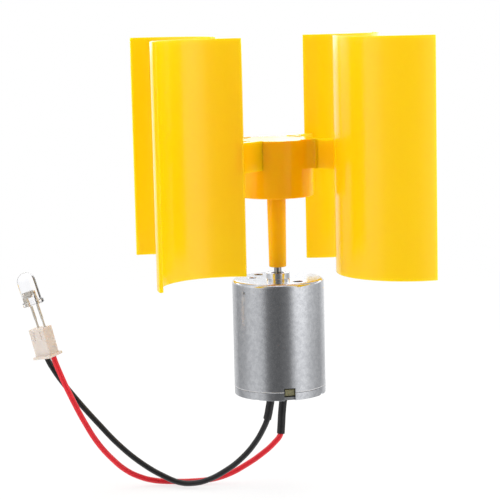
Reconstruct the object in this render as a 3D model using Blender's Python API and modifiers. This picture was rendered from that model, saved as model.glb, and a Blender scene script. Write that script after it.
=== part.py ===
"""Vertical axis turbine with a small DC motor as its generator and a plug-in LED.

The origin is the centre of the motor's flat rear face, and +Z is the rotor's axis.
Lengths are in metres.
"""
import math

import bmesh
import bpy
from mathutils import Matrix, Vector

MM = 0.001
GAP = 0.3 * MM
CUT = 1.0 * MM
ROUND_STEPS = 48
SMALL_STEPS = 24
SHARP = math.radians(35)

# motor can, end plate and mounting holes
CAN_RADIUS = 12.2 * MM
CAN_WALL = 0.8 * MM
CAN_HEIGHT = 30.8 * MM
CAN_SHOULDER = 1.0 * MM
RIM_HEIGHT = 2.0 * MM
BOSS_RADIUS = 3.15 * MM
BOSS_HEIGHT = 1.6 * MM
BOSS_WALL = 0.5 * MM
BOSS_EDGE = 0.2 * MM
BOSS_LIP_RADIUS = 1.7 * MM
PLATE_THICKNESS = 0.8 * MM
PLATE_EDGE = 0.25 * MM
HOLE_CIRCLE = 8.5 * MM
HOLE_RADIUS = 1.3 * MM
HOLE_AZIMUTHS = (-52, 128)
VENT_CIRCLE = 6.8 * MM
VENT_RADIUS = 1.0 * MM
VENT_AZIMUTH = 171
NOTCH_AZIMUTHS = (-78, 102)
NOTCH_WIDTH = 3.0 * MM
NOTCH_TOP = 3.3 * MM
REAR_CUP_RADIUS = 3.2 * MM
REAR_CUP_TOP = 3.2 * MM
HOLDER_TOP = 3.0 * MM
HOLDER_TAB_BOTTOM = 1.5 * MM

# shaft and bearings
SHAFT_RADIUS = 1.0 * MM
SHAFT_BOTTOM = 1.4 * MM
SHAFT_TOP = 47.0 * MM
SHAFT_CHAMFER = 0.2 * MM
BORE_RADIUS = SHAFT_RADIUS + GAP
BEARING_RADIUS = 2.3 * MM
FRONT_BEARING_BOTTOM = CAN_HEIGHT - 3.0 * MM
WASHER_THICKNESS = 0.3 * MM

# armature: three wound poles and a three-bar commutator
POLES = 3
CORE_BOTTOM = 10.0 * MM
CORE_TOP = 24.0 * MM
CORE_RADIUS = 8.8 * MM
CORE_HUB_RADIUS = 3.0 * MM
NECK_WIDTH = 2.4 * MM
SHOE_INNER_RADIUS = 7.4 * MM
SHOE_HALF_ANGLE = 50
INSULATOR_THICKNESS = 0.6 * MM
COIL_INNER_RADIUS = 3.9 * MM
COIL_OUTER_RADIUS = 6.8 * MM
COIL_THICKNESS = 1.7 * MM
COIL_ROUNDING = 0.6 * MM
BARREL_TOP = 7.8 * MM
BARREL_RADIUS = 2.0 * MM
BAR_RADIUS = BARREL_RADIUS + 1.5 * GAP
BAR_THICKNESS = 0.3 * MM
BAR_ANGLE = 100
BAR_BOTTOM = 4.4 * MM
BAR_TOP = 7.0 * MM

# field magnets
MAGNET_INNER_RADIUS = 9.2 * MM
MAGNET_BOTTOM = 8.5 * MM
MAGNET_TOP = 27.0 * MM
MAGNET_ANGLE = 136
MAGNET_AZIMUTHS = (12, 192)
CLIP_AZIMUTH = 102
CLIP_ANGLE = 34
CLIP_THICKNESS = 0.6 * MM

# brushes and terminals, one set for each lead
LEADS = ("red", "black")
TERMINAL_AZIMUTHS = {"red": 80, "black": -118}
TERMINAL_CIRCLE = 5.5 * MM
WINDOW_RADIUS = 1.75 * MM
TERMINAL_WIDTH = 1.0 * MM
TERMINAL_THICKNESS = 0.4 * MM
TERMINAL_BOTTOM = -1.8 * MM
TERMINAL_TOP = 6.4 * MM
LEAF_THICKNESS = 0.25 * MM
LEAF_BOTTOM = 4.8 * MM
LEAF_TOP = 6.2 * MM

# rotor moulding
HUB_RADIUS = 10.0 * MM
HUB_BOTTOM = 52.9 * MM
HUB_TOP = 67.9 * MM
HUB_WALL = 1.8 * MM
HUB_EDGE = 0.3 * MM
STEM_BOTTOM = 33.9 * MM
STEM_TOP_RADIUS = 2.5 * MM
STEM_END_RADIUS = 2.3 * MM

# blades: a thin part-round vane whose inner edge stands on the end of an arm
BLADES = 4
BLADE_AZIMUTH = -25.0
VANE_CENTRE = (35.4 * MM, 4.16 * MM)
VANE_RADIUS = 18.2 * MM
VANE_THICKNESS = 1.0 * MM
VANE_START = 195.0
VANE_END = 313.9
VANE_BOTTOM = 33.8 * MM
VANE_TOP = 94.7 * MM
VANE_STEPS = 22
ARM_SLANT = -12.8
ARM_INWARD = 3.0 * MM
ARM_REACHES = (8.8 * MM, 7.9 * MM)
ARM_THICKNESS = 2.0 * MM
ARM_BOTTOM = 60.4 * MM
ARM_TOP = 68.1 * MM

# leads: sleeves over the terminals, then bare insulation to the connector
LEAD_RADIUS = 0.77 * MM
SLEEVE_RADIUS = 1.08 * MM
SLEEVE_WALL = 0.25 * MM
LEAD_SPACING = 3.0 * MM
SLEEVE_SPACING = 1.4 * MM
SLEEVE_ROUTES_MM = {
    "red": (
        (1.0, 5.4, -0.4), (1.0, 5.4, -2.0), (0.6, 5.4, -4.6), (0.3, 5.3, -7.4),
        (0.1, 5.2, -10.2), (-0.1, 5.1, -12.8),
    ),
    "black": (
        (-2.6, -4.9, -0.4), (-2.7, -4.9, -1.8), (-3.0, -4.85, -3.4), (-3.3, -4.75, -5.0),
        (-3.65, -4.6, -6.4),
    ),
}
LEAD_ROUTES_MM = {
    "red": (
        (-0.2, 5.1, -13.1), (-2.0, 4.8, -15.4), (-5.7, 4.4, -18.5), (-9.9, 4.0, -21.2),
        (-14.3, 3.5, -23.4), (-19.0, 3.1, -24.7), (-24.4, 2.7, -25.1), (-30.0, 2.5, -25.0),
        (-34.9, 2.5, -24.6), (-38.7, 2.4, -23.5), (-42.4, 2.2, -21.5), (-46.0, 1.9, -18.2),
        (-49.6, 1.6, -13.8), (-53.0, 1.3, -7.9), (-56.2, 1.5, -1.4), (-59.1, 1.8, 5.3),
        (-60.9, 2.35, 10.0),
    ),
    "black": (
        (-3.7, -4.6, -6.7), (-4.6, -4.1, -8.9), (-6.9, -3.4, -13.0), (-10.7, -2.8, -17.5),
        (-15.4, -2.1, -21.2), (-20.4, -1.5, -23.8), (-24.2, -0.9, -24.7), (-27.6, -0.3, -24.6),
        (-32.0, 0.3, -22.9), (-37.9, 1.0, -19.4), (-43.9, 1.9, -14.5), (-49.5, 2.8, -8.6),
        (-55.1, 3.7, -2.2), (-58.5, 4.2, 2.1), (-61.1, 4.2, 6.0), (-62.8, 3.95, 9.4),
    ),
}

# connector, on a frame of its own at the middle of the contact row's wire end
PLUG_PLACE = (-61.96 * MM, 3.15 * MM, 10.23 * MM)
PLUG_LEAN = 13.4
PLUG_TURN = 37.0
PITCH = 2.54 * MM
HOUSING_SIZE = (5.7 * MM, 3.5 * MM, 8.3 * MM)
HOUSING_MIDDLE = (-0.35 * MM, -0.45 * MM)
FLANGE_SIZE = (6.4 * MM, 5.2 * MM, 0.75 * MM)
CAVITY_WIDTH = 1.8 * MM
KEYWAY_SIZE = (0.9 * MM, 0.4 * MM, 2.4 * MM)
KEYWAY_BOTTOM = 5.1 * MM
CONTACT_WIDTH = 1.2 * MM
CONTACT_WALL = 0.2 * MM
CONTACT_SPAN = (0.6 * MM, 7.8 * MM)

# LED, on a frame of its own that leans a little more than the connector's
LED_PLACE = (-61.65 * MM, 3.15 * MM, 10.31 * MM)
LED_LEAN = 16.2
LED_BASE = 14.8 * MM
LED_RADIUS = 2.5 * MM
LED_HEIGHT = 8.9 * MM
LED_FLANGE_RADIUS = 2.9 * MM
LED_FLANGE_HEIGHT = 1.0 * MM
LED_FLAT = 2.6 * MM
LED_HOLLOW_RADIUS = 2.1 * MM
LED_HOLLOW_HEIGHT = 4.7 * MM
LED_LEAD_WIDTH = 0.42 * MM
LED_LEAD_BOTTOM = 5.0 * MM
LED_STOP_WIDTH = 0.62 * MM
LED_STOP_BOTTOM = LED_BASE - 4.3 * MM
POST_TOP = LED_BASE + 3.7 * MM
LED_STOP_TOP = POST_TOP - 1.4 * MM
CUP_RADIUS = 0.8 * MM
CUP_PLACE = -0.3 * MM
CUP_TOP = LED_BASE + 3.8 * MM
CUP_FLOOR = CUP_TOP - 0.6 * MM
CUP_BOTTOM = CUP_TOP - 1.0 * MM
CUP_WALL = 0.2 * MM
CHIP_SIZE = (0.35 * MM, 0.35 * MM, 0.2 * MM)

COLOURS = {
    "yellow": ((0.95, 0.55, 0.02), 0.25, 0.0),
    "plated_steel": ((0.55, 0.56, 0.57), 0.38, 1.0),
    "polished_steel": ((0.45, 0.44, 0.43), 0.2, 1.0),
    "bronze": ((0.35, 0.25, 0.13), 0.5, 1.0),
    "lamination": ((0.22, 0.22, 0.23), 0.55, 1.0),
    "ferrite": ((0.06, 0.06, 0.065), 0.8, 0.0),
    "enamelled_copper": ((0.55, 0.16, 0.05), 0.3, 1.0),
    "copper": ((0.85, 0.42, 0.25), 0.3, 1.0),
    "brass": ((0.78, 0.6, 0.28), 0.35, 1.0),
    "phosphor_bronze": ((0.75, 0.47, 0.28), 0.3, 1.0),
    "khaki_plastic": ((0.24, 0.22, 0.12), 0.6, 0.0),
    "black_plastic": ((0.03, 0.03, 0.03), 0.5, 0.0),
    "fibre": ((0.62, 0.25, 0.16), 0.8, 0.0),
    "black_sleeve": ((0.015, 0.015, 0.016), 0.5, 0.0),
    "red_insulation": ((0.8, 0.02, 0.03), 0.4, 0.0),
    "black_insulation": ((0.012, 0.012, 0.013), 0.4, 0.0),
    "cream_nylon": ((0.86, 0.8, 0.7), 0.5, 0.0),
    "tinned_steel": ((0.66, 0.65, 0.62), 0.3, 1.0),
    "clear_epoxy": ((0.95, 0.96, 0.98), 0.05, 0.0),
    "chip": ((0.8, 0.75, 0.3), 0.5, 0.0),
}


# ---------------------------------------------------------------- scene helpers
def clear_scene():
    for obj in list(bpy.data.objects):
        bpy.data.objects.remove(obj, do_unlink=True)


def new_collection(name):
    collection = bpy.data.collections.new(name)
    bpy.context.scene.collection.children.link(collection)
    return collection


clear_scene()
PARTS = new_collection("vertical_axis_turbine")
CUTTERS = new_collection("cutters")


def new_empty(name, location=(0, 0, 0)):
    empty = bpy.data.objects.new(name, None)
    empty.location = location
    PARTS.objects.link(empty)
    return empty


def material(node, finish):
    colour, roughness, metallic = COLOURS[finish]
    made = bpy.data.materials.new(f"{node}_{finish}")
    made.use_nodes = True
    shader = made.node_tree.nodes["Principled BSDF"]
    shader.inputs["Base Color"].default_value = (*colour, 1)
    shader.inputs["Roughness"].default_value = roughness
    shader.inputs["Metallic"].default_value = metallic
    return made


def add_part(name, mesh, finish, parent):
    """Links a mesh as the part called name, dressed in a finish, under its parent empty."""
    mesh.materials.clear()
    mesh.materials.append(material(name, finish))
    mesh.shade_smooth()
    mesh.set_sharp_from_angle(angle=SHARP)
    part = bpy.data.objects.new(name, mesh)
    part.parent = parent
    PARTS.objects.link(part)
    return part


def add_cutter(name, mesh, parent):
    cutter = bpy.data.objects.new(name, mesh)
    cutter.parent = parent
    cutter.hide_render = True
    cutter.display_type = "WIRE"
    CUTTERS.objects.link(cutter)
    return cutter


def combine(part, operation, other):
    """Adds an exact Boolean of the part with another object."""
    boolean = part.modifiers.new(f"{operation.lower()}_{other.name}", "BOOLEAN")
    boolean.operation = operation
    boolean.object = other
    boolean.solver = "EXACT"


def polar(radius, degrees, height=0.0):
    angle = math.radians(degrees)
    return Vector((radius * math.cos(angle), radius * math.sin(angle), height))


def turned(degrees):
    return Matrix.Rotation(math.radians(degrees), 4, "Z")


# ---------------------------------------------------------------- mesh makers
def box_mesh(name, low, high, turn=0.0):
    """A box between two corners, turned about Z through the origin by an angle in degrees."""
    low, high = Vector(low), Vector(high)
    size = high - low
    bm = bmesh.new()
    bmesh.ops.create_cube(bm, size=1)
    place = turned(turn) @ Matrix.Translation((low + high) / 2) @ Matrix.Diagonal((*size, 1))
    bmesh.ops.transform(bm, matrix=place, verts=bm.verts)
    mesh = bpy.data.meshes.new(name)
    bm.to_mesh(mesh)
    bm.free()
    return mesh


def rod_mesh(name, radius, bottom, top, centre=(0, 0), steps=SMALL_STEPS):
    bm = bmesh.new()
    place = Matrix.Translation((centre[0], centre[1], (bottom + top) / 2))
    bmesh.ops.create_cone(
        bm, cap_ends=True, segments=steps, radius1=radius, radius2=radius,
        depth=top - bottom, matrix=place,
    )
    mesh = bpy.data.meshes.new(name)
    bm.to_mesh(mesh)
    bm.free()
    return mesh


def profile_mesh(name, points, closed):
    """A profile of (radius, height) points in the XZ plane, joined by edges."""
    count = len(points)
    edges = [(i, i + 1) for i in range(count - 1)]
    if closed:
        edges.append((count - 1, 0))
    mesh = bpy.data.meshes.new(name)
    mesh.from_pydata([(radius, 0, height) for radius, height in points], edges, [])
    return mesh


def add_turned(name, points, finish, parent, steps=ROUND_STEPS, closed=False):
    """A turned part: the profile runs down its outer side and is screwed round Z."""
    part = add_part(name, profile_mesh(name, points, closed), finish, parent)
    screw = part.modifiers.new("turn", "SCREW")
    screw.angle = math.tau
    screw.steps = steps
    screw.render_steps = steps
    screw.use_merge_vertices = True
    screw.merge_threshold = 0.00001
    screw.use_smooth_shade = True
    return part


def add_ring(name, inner, outer, bottom, top, finish, parent, steps=SMALL_STEPS):
    points = [(outer, top), (outer, bottom), (inner, bottom), (inner, top)]
    return add_turned(name, points, finish, parent, steps, closed=True)


def arc_sheet_mesh(name, radius, start, end, bottom, top, steps, centre=(0, 0)):
    """An upright open sheet that follows an arc, made by spinning one vertical edge."""
    middle = Vector((centre[0], centre[1], 0))
    bm = bmesh.new()
    foot = middle + polar(radius, start)
    low = bm.verts.new((foot.x, foot.y, bottom))
    high = bm.verts.new((foot.x, foot.y, top))
    edge = bm.edges.new((low, high))
    bmesh.ops.spin(
        bm, geom=[low, high, edge], cent=middle, axis=(0, 0, 1),
        angle=math.radians(end - start), steps=steps,
    )
    mesh = bpy.data.meshes.new(name)
    bm.to_mesh(mesh)
    bm.free()
    return mesh


def add_arc_wall(name, radius, thickness, middle, angle, bottom, top, finish, parent, steps=12):
    """A part-round wall of a thickness, centred on an azimuth, with radius at its mid-surface."""
    start, end = middle - angle / 2, middle + angle / 2
    mesh = arc_sheet_mesh(name, radius, start, end, bottom, top, steps)
    wall = add_part(name, mesh, finish, parent)
    thicken(wall, thickness)
    return wall


def thicken(part, thickness):
    solidify = part.modifiers.new("wall", "SOLIDIFY")
    solidify.thickness = thickness
    solidify.offset = 0.0
    solidify.use_even_offset = True


def outline_mesh(name, loops, bottom, top):
    """A flat outline with its holes, extruded between two heights."""
    curve = bpy.data.curves.new(name, "CURVE")
    curve.dimensions = "2D"
    curve.fill_mode = "BOTH"
    curve.extrude = (top - bottom) / 2
    for loop in loops:
        spline = curve.splines.new("POLY")
        spline.points.add(len(loop) - 1)
        for point, corner in zip(spline.points, loop):
            point.co = (corner.x, corner.y, 0, 1)
        spline.use_cyclic_u = True
    return curve_mesh(name, curve, Matrix.Translation((0, 0, (bottom + top) / 2)))


def curve_mesh(name, curve, place=None):
    """Makes a curve's evaluated shape a welded mesh and removes the curve."""
    holder = bpy.data.objects.new(f"{name}_curve", curve)
    bpy.context.scene.collection.objects.link(holder)
    graph = bpy.context.evaluated_depsgraph_get()
    mesh = bpy.data.meshes.new_from_object(holder.evaluated_get(graph))
    mesh.name = name
    bm = bmesh.new()
    bm.from_mesh(mesh)
    bmesh.ops.remove_doubles(bm, verts=bm.verts, dist=0.000001)
    if place is not None:
        bmesh.ops.transform(bm, matrix=place, verts=bm.verts)
    bm.to_mesh(mesh)
    bm.free()
    bpy.data.objects.remove(holder, do_unlink=True)
    return mesh


def smooth_route(points, spacing):
    """Evenly spaced points along one smooth Catmull-Rom curve through the given points."""
    padded = [2 * points[0] - points[1], *points, 2 * points[-1] - points[-2]]
    fine = []
    for p0, p1, p2, p3 in zip(padded, padded[1:], padded[2:], padded[3:]):
        for step in range(20):
            t = step / 20
            fine.append(
                0.5 * (2 * p1 + (p2 - p0) * t + (2 * p0 - 5 * p1 + 4 * p2 - p3) * t**2
                       + (3 * p1 - p0 - 3 * p2 + p3) * t**3)
            )
    fine.append(points[-1])
    travelled = [0.0]
    for before, after in zip(fine, fine[1:]):
        travelled.append(travelled[-1] + (after - before).length)
    count = max(2, round(travelled[-1] / spacing))
    route, index = [], 0
    for number in range(count + 1):
        target = travelled[-1] * number / count
        while index < len(fine) - 2 and travelled[index + 1] < target:
            index += 1
        stretch = travelled[index + 1] - travelled[index]
        route.append(fine[index].lerp(fine[index + 1], (target - travelled[index]) / stretch))
    return route


def tube_curve(name, route, radius, capped=True):
    curve = bpy.data.curves.new(name, "CURVE")
    curve.dimensions = "3D"
    curve.bevel_depth = radius
    curve.bevel_resolution = 2
    curve.use_fill_caps = capped
    spline = curve.splines.new("POLY")
    spline.points.add(len(route) - 1)
    for point, place in zip(spline.points, route):
        point.co = (*place, 1)
    return curve


# ---------------------------------------------------------------- motor
def build_can(parent):
    radius, wall, top = CAN_RADIUS, CAN_WALL, CAN_HEIGHT
    bottom = RIM_HEIGHT + GAP
    inner = radius - wall
    shoulder = [
        (radius - CAN_SHOULDER + CAN_SHOULDER * math.sin(angle),
         top - CAN_SHOULDER + CAN_SHOULDER * math.cos(angle))
        for angle in (math.radians(a) for a in (0, 30, 60, 90))
    ]
    boss_top = top + BOSS_HEIGHT
    boss_inner = BOSS_RADIUS - BOSS_WALL
    points = [
        (BOSS_LIP_RADIUS, boss_top),
        (BOSS_RADIUS - BOSS_EDGE, boss_top),
        (BOSS_RADIUS, boss_top - BOSS_EDGE),
        (BOSS_RADIUS, top),
        *shoulder,
        (radius, bottom),
        (inner, bottom),
        (inner, top - CAN_SHOULDER),
        (inner - wall / 2, top - wall),
        (boss_inner, top - wall),
        (boss_inner, boss_top - BOSS_WALL),
        (BOSS_LIP_RADIUS, boss_top - BOSS_WALL),
    ]
    can = add_turned("motor_can", points, "plated_steel", parent, closed=True)
    holes = [(HOLE_CIRCLE, HOLE_RADIUS, azimuth) for azimuth in HOLE_AZIMUTHS]
    holes.append((VENT_CIRCLE, VENT_RADIUS, VENT_AZIMUTH))
    for number, (circle, hole, azimuth) in enumerate(holes, 1):
        centre = polar(circle, azimuth)
        mesh = rod_mesh(f"front_hole_{number}", hole, top - wall - CUT, top + CUT, centre[:2])
        combine(can, "DIFFERENCE", add_cutter(mesh.name, mesh, parent))
    for number, azimuth in enumerate(NOTCH_AZIMUTHS, 1):
        mesh = notch_mesh(f"can_notch_{number}", azimuth, radius - 2 * wall, bottom - CUT, NOTCH_TOP)
        combine(can, "DIFFERENCE", add_cutter(mesh.name, mesh, parent))


def notch_mesh(name, azimuth, inner, bottom, top, width=NOTCH_WIDTH, outer=CAN_RADIUS + CUT):
    low = (inner, -width / 2, bottom)
    return box_mesh(name, low, (outer, width / 2, top), azimuth)


def build_end_plate(parent):
    radius, plate = CAN_RADIUS, PLATE_THICKNESS
    inner = radius - CAN_WALL
    cup_bore = BEARING_RADIUS + GAP
    points = [
        (0, plate), (cup_bore, plate), (cup_bore, REAR_CUP_TOP), (REAR_CUP_RADIUS, REAR_CUP_TOP),
        (REAR_CUP_RADIUS, plate), (inner, plate), (inner, RIM_HEIGHT), (radius, RIM_HEIGHT),
        (radius, PLATE_EDGE), (radius - PLATE_EDGE, 0), (0, 0),
    ]
    plate_part = add_turned("end_plate", points, "plated_steel", parent)
    for number, azimuth in enumerate(NOTCH_AZIMUTHS, 1):
        mesh = notch_mesh(f"rim_notch_{number}", azimuth, inner - GAP, -CUT, RIM_HEIGHT + CUT)
        combine(plate_part, "DIFFERENCE", add_cutter(mesh.name, mesh, parent))
    for lead in LEADS:
        centre = polar(TERMINAL_CIRCLE, TERMINAL_AZIMUTHS[lead])
        mesh = rod_mesh(f"{lead}_window", WINDOW_RADIUS, -CUT, plate + CUT, centre[:2])
        combine(plate_part, "DIFFERENCE", add_cutter(mesh.name, mesh, parent))


def build_brush_holder(parent):
    """A plastic disc inside the end plate, with a tab in each notch and a slot for each terminal."""
    bottom, top = PLATE_THICKNESS + GAP, HOLDER_TOP
    outer = CAN_RADIUS - CAN_WALL - GAP
    holder = add_ring(
        "brush_holder", REAR_CUP_RADIUS + GAP, outer, bottom, top,
        "khaki_plastic", parent, ROUND_STEPS,
    )
    for number, azimuth in enumerate(NOTCH_AZIMUTHS, 1):
        mesh = notch_mesh(
            f"holder_tab_{number}", azimuth, outer - 2 * GAP, HOLDER_TAB_BOTTOM, top - GAP / 6,
            NOTCH_WIDTH - 2 * GAP, CAN_RADIUS - GAP,
        )
        combine(holder, "UNION", add_cutter(mesh.name, mesh, parent))
    for lead in LEADS:
        half = Vector((TERMINAL_THICKNESS / 2 + GAP, TERMINAL_WIDTH / 2 + GAP, 0))
        middle = Vector((TERMINAL_CIRCLE, 0, 0))
        low, high = middle - half, middle + half
        low.z, high.z = bottom - CUT, top + CUT
        mesh = box_mesh(f"{lead}_slot", low, high, TERMINAL_AZIMUTHS[lead])
        combine(holder, "DIFFERENCE", add_cutter(mesh.name, mesh, parent))


def build_bearings(parent):
    rear = (PLATE_THICKNESS + GAP, REAR_CUP_TOP)
    front = (FRONT_BEARING_BOTTOM, CAN_HEIGHT + BOSS_HEIGHT - BOSS_WALL - GAP)
    for name, (bottom, top) in (("rear_bearing", rear), ("front_bearing", front)):
        add_ring(name, BORE_RADIUS, BEARING_RADIUS, bottom, top, "bronze", parent)


def build_magnets(parent):
    outer = CAN_RADIUS - CAN_WALL - GAP
    thickness = outer - MAGNET_INNER_RADIUS
    for name, azimuth in zip(("magnet_north", "magnet_south"), MAGNET_AZIMUTHS):
        add_arc_wall(
            name, outer - thickness / 2, thickness, azimuth, MAGNET_ANGLE,
            MAGNET_BOTTOM, MAGNET_TOP, "ferrite", parent, 16,
        )
    add_arc_wall(
        "magnet_clip", outer - CLIP_THICKNESS / 2, CLIP_THICKNESS, CLIP_AZIMUTH, CLIP_ANGLE,
        MAGNET_BOTTOM, MAGNET_TOP, "polished_steel", parent, 6,
    )


def build_brush(lead, parent):
    """A brass terminal strip and the bronze leaf that bears on the commutator beside it."""
    turn = TERMINAL_AZIMUTHS[lead]
    half_width, half_thickness = TERMINAL_WIDTH / 2, TERMINAL_THICKNESS / 2
    low = (TERMINAL_CIRCLE - half_thickness, -half_width, TERMINAL_BOTTOM)
    high = (TERMINAL_CIRCLE + half_thickness, half_width, TERMINAL_TOP)
    add_part(f"terminal_{lead}", box_mesh(f"terminal_{lead}", low, high, turn), "brass", parent)
    root = TERMINAL_CIRCLE - half_thickness - GAP
    touch = BAR_RADIUS + BAR_THICKNESS / 2 + GAP + LEAF_THICKNESS / 2
    path = [
        (root, -0.5 * MM), (root, 1.6 * MM), (root - 0.4 * MM, 2.5 * MM),
        (touch + 0.6 * MM, 2.9 * MM), (touch + 0.1 * MM, 2.3 * MM), (touch, 1.4 * MM),
        (touch, -1.2 * MM),
    ]
    bm = bmesh.new()
    feet = [bm.verts.new((x, y, LEAF_BOTTOM)) for x, y in path]
    edges = [bm.edges.new(pair) for pair in zip(feet, feet[1:])]
    raised = bmesh.ops.extrude_edge_only(bm, edges=edges)["geom"]
    heads = [item for item in raised if isinstance(item, bmesh.types.BMVert)]
    bmesh.ops.translate(bm, vec=(0, 0, LEAF_TOP - LEAF_BOTTOM), verts=heads)
    bmesh.ops.transform(bm, matrix=turned(turn), verts=bm.verts)
    mesh = bpy.data.meshes.new(f"brush_{lead}")
    bm.to_mesh(mesh)
    bm.free()
    thicken(add_part(mesh.name, mesh, "phosphor_bronze", parent), LEAF_THICKNESS)


# ---------------------------------------------------------------- armature
def lamination_outline(radius):
    """The three-pole outline, with its shoes at a radius, and the bore through it."""
    outline = []
    half_neck = NECK_WIDTH / 2
    for pole in range(POLES):
        middle = pole * 360 / POLES
        spin = Matrix.Rotation(math.radians(middle), 3, "Z")
        root_x = math.sqrt(CORE_HUB_RADIUS**2 - half_neck**2)
        shoe_x = math.sqrt(SHOE_INNER_RADIUS**2 - half_neck**2)
        outline.append(spin @ Vector((root_x, -half_neck, 0)))
        outline.append(spin @ Vector((shoe_x, -half_neck, 0)))
        outline += [polar(SHOE_INNER_RADIUS, middle + a) for a in (-30, -SHOE_HALF_ANGLE)]
        outline += [
            polar(radius, middle + SHOE_HALF_ANGLE * (step / 5 - 1)) for step in range(11)
        ]
        outline += [polar(SHOE_INNER_RADIUS, middle + a) for a in (SHOE_HALF_ANGLE, 30)]
        outline.append(spin @ Vector((shoe_x, half_neck, 0)))
        outline.append(spin @ Vector((root_x, half_neck, 0)))
        outline.append(polar(CORE_HUB_RADIUS, middle + 180 / POLES))
    bore = [polar(BORE_RADIUS, 360 * step / SMALL_STEPS) for step in range(SMALL_STEPS)]
    return [outline, bore]


def build_core(parent):
    insulator_radius = CORE_RADIUS - GAP
    stacks = (
        ("armature_core", CORE_RADIUS, CORE_BOTTOM, CORE_TOP, "lamination"),
        ("insulator_rear", insulator_radius, CORE_BOTTOM - GAP - INSULATOR_THICKNESS,
         CORE_BOTTOM - GAP, "fibre"),
        ("insulator_front", insulator_radius, CORE_TOP + GAP,
         CORE_TOP + GAP + INSULATOR_THICKNESS, "fibre"),
    )
    for name, radius, bottom, top, finish in stacks:
        mesh = outline_mesh(name, lamination_outline(radius), bottom, top)
        add_part(name, mesh, finish, parent)


def build_windings(parent):
    """One coil round each pole's neck, a square ring that clears the core and insulators."""
    reach = INSULATOR_THICKNESS + 2 * GAP
    bottom, top = CORE_BOTTOM - reach, CORE_TOP + reach
    inside = NECK_WIDTH / 2 + GAP
    outside = inside + COIL_THICKNESS
    for pole in range(POLES):
        turn = pole * 360 / POLES
        name = f"winding_{pole + 1}"
        low = (COIL_INNER_RADIUS, -outside, bottom - COIL_THICKNESS)
        high = (COIL_OUTER_RADIUS, outside, top + COIL_THICKNESS)
        coil = add_part(name, box_mesh(name, low, high, turn), "enamelled_copper", parent)
        round_edges(coil, COIL_ROUNDING, 2)
        low = (COIL_INNER_RADIUS - CUT, -inside, bottom)
        high = (COIL_OUTER_RADIUS + CUT, inside, top)
        mesh = box_mesh(f"{name}_window", low, high, turn)
        combine(coil, "DIFFERENCE", add_cutter(mesh.name, mesh, parent))


def round_edges(part, width, segments):
    bevel = part.modifiers.new("rounded", "BEVEL")
    bevel.width = width
    bevel.segments = segments
    bevel.limit_method = "ANGLE"


def build_commutator(parent):
    add_ring("commutator_barrel", BORE_RADIUS, BARREL_RADIUS, BAR_BOTTOM - GAP,
             BARREL_TOP, "black_plastic", parent)
    for bar in range(POLES):
        middle = (bar + 0.5) * 360 / POLES
        add_arc_wall(
            f"commutator_bar_{bar + 1}", BAR_RADIUS, BAR_THICKNESS, middle, BAR_ANGLE,
            BAR_BOTTOM, BAR_TOP, "copper", parent, 8,
        )


def build_shaft(parent):
    top, bottom, chamfer = SHAFT_TOP, SHAFT_BOTTOM, SHAFT_CHAMFER
    points = [
        (0, top), (SHAFT_RADIUS - chamfer, top), (SHAFT_RADIUS, top - chamfer),
        (SHAFT_RADIUS, bottom + chamfer), (SHAFT_RADIUS - chamfer, bottom), (0, bottom),
    ]
    add_turned("shaft", points, "polished_steel", parent, SMALL_STEPS)
    rear = REAR_CUP_TOP + GAP
    front = FRONT_BEARING_BOTTOM - GAP - WASHER_THICKNESS
    for name, low in (("thrust_washer_rear", rear), ("thrust_washer_front", front)):
        high = low + WASHER_THICKNESS
        add_ring(name, BORE_RADIUS, BARREL_RADIUS, low, high, "fibre", parent)


# ---------------------------------------------------------------- rotor
def build_hub(parent):
    """An upside-down cup with a stem down its middle that is bored for the shaft."""
    edge = HUB_EDGE
    inside = HUB_RADIUS - HUB_WALL
    roof = HUB_TOP - HUB_WALL
    points = [
        (0, HUB_TOP), (HUB_RADIUS - edge, HUB_TOP), (HUB_RADIUS, HUB_TOP - edge),
        (HUB_RADIUS, HUB_BOTTOM + edge), (HUB_RADIUS - edge, HUB_BOTTOM), (inside, HUB_BOTTOM),
        (inside, roof - edge), (inside - edge, roof), (STEM_TOP_RADIUS + edge, roof),
        (STEM_TOP_RADIUS, roof - edge), (STEM_TOP_RADIUS, HUB_BOTTOM),
        (STEM_END_RADIUS, STEM_BOTTOM + edge), (STEM_END_RADIUS - edge, STEM_BOTTOM),
        (BORE_RADIUS, STEM_BOTTOM), (BORE_RADIUS, SHAFT_TOP + GAP), (0, SHAFT_TOP + GAP),
    ]
    hub = add_turned("hub", points, "yellow", parent)
    half = ARM_THICKNESS / 2 + GAP
    for blade in range(BLADES):
        low = (-ARM_INWARD - GAP, -half, ARM_BOTTOM - GAP)
        mesh = box_mesh(f"hub_slot_{blade + 1}", low, (2 * CUT, half, ARM_TOP + CUT))
        mesh.transform(arm_place(blade))
        combine(hub, "DIFFERENCE", add_cutter(mesh.name, mesh, parent))


def blade_azimuth(blade):
    return BLADE_AZIMUTH + blade * 360 / BLADES


def arm_place(blade):
    """The arm's frame: on the hub's side, slanted off the radius towards the vane's inner edge."""
    return turned(blade_azimuth(blade)) @ Matrix.Translation((HUB_RADIUS, 0, 0)) @ turned(ARM_SLANT)


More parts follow.
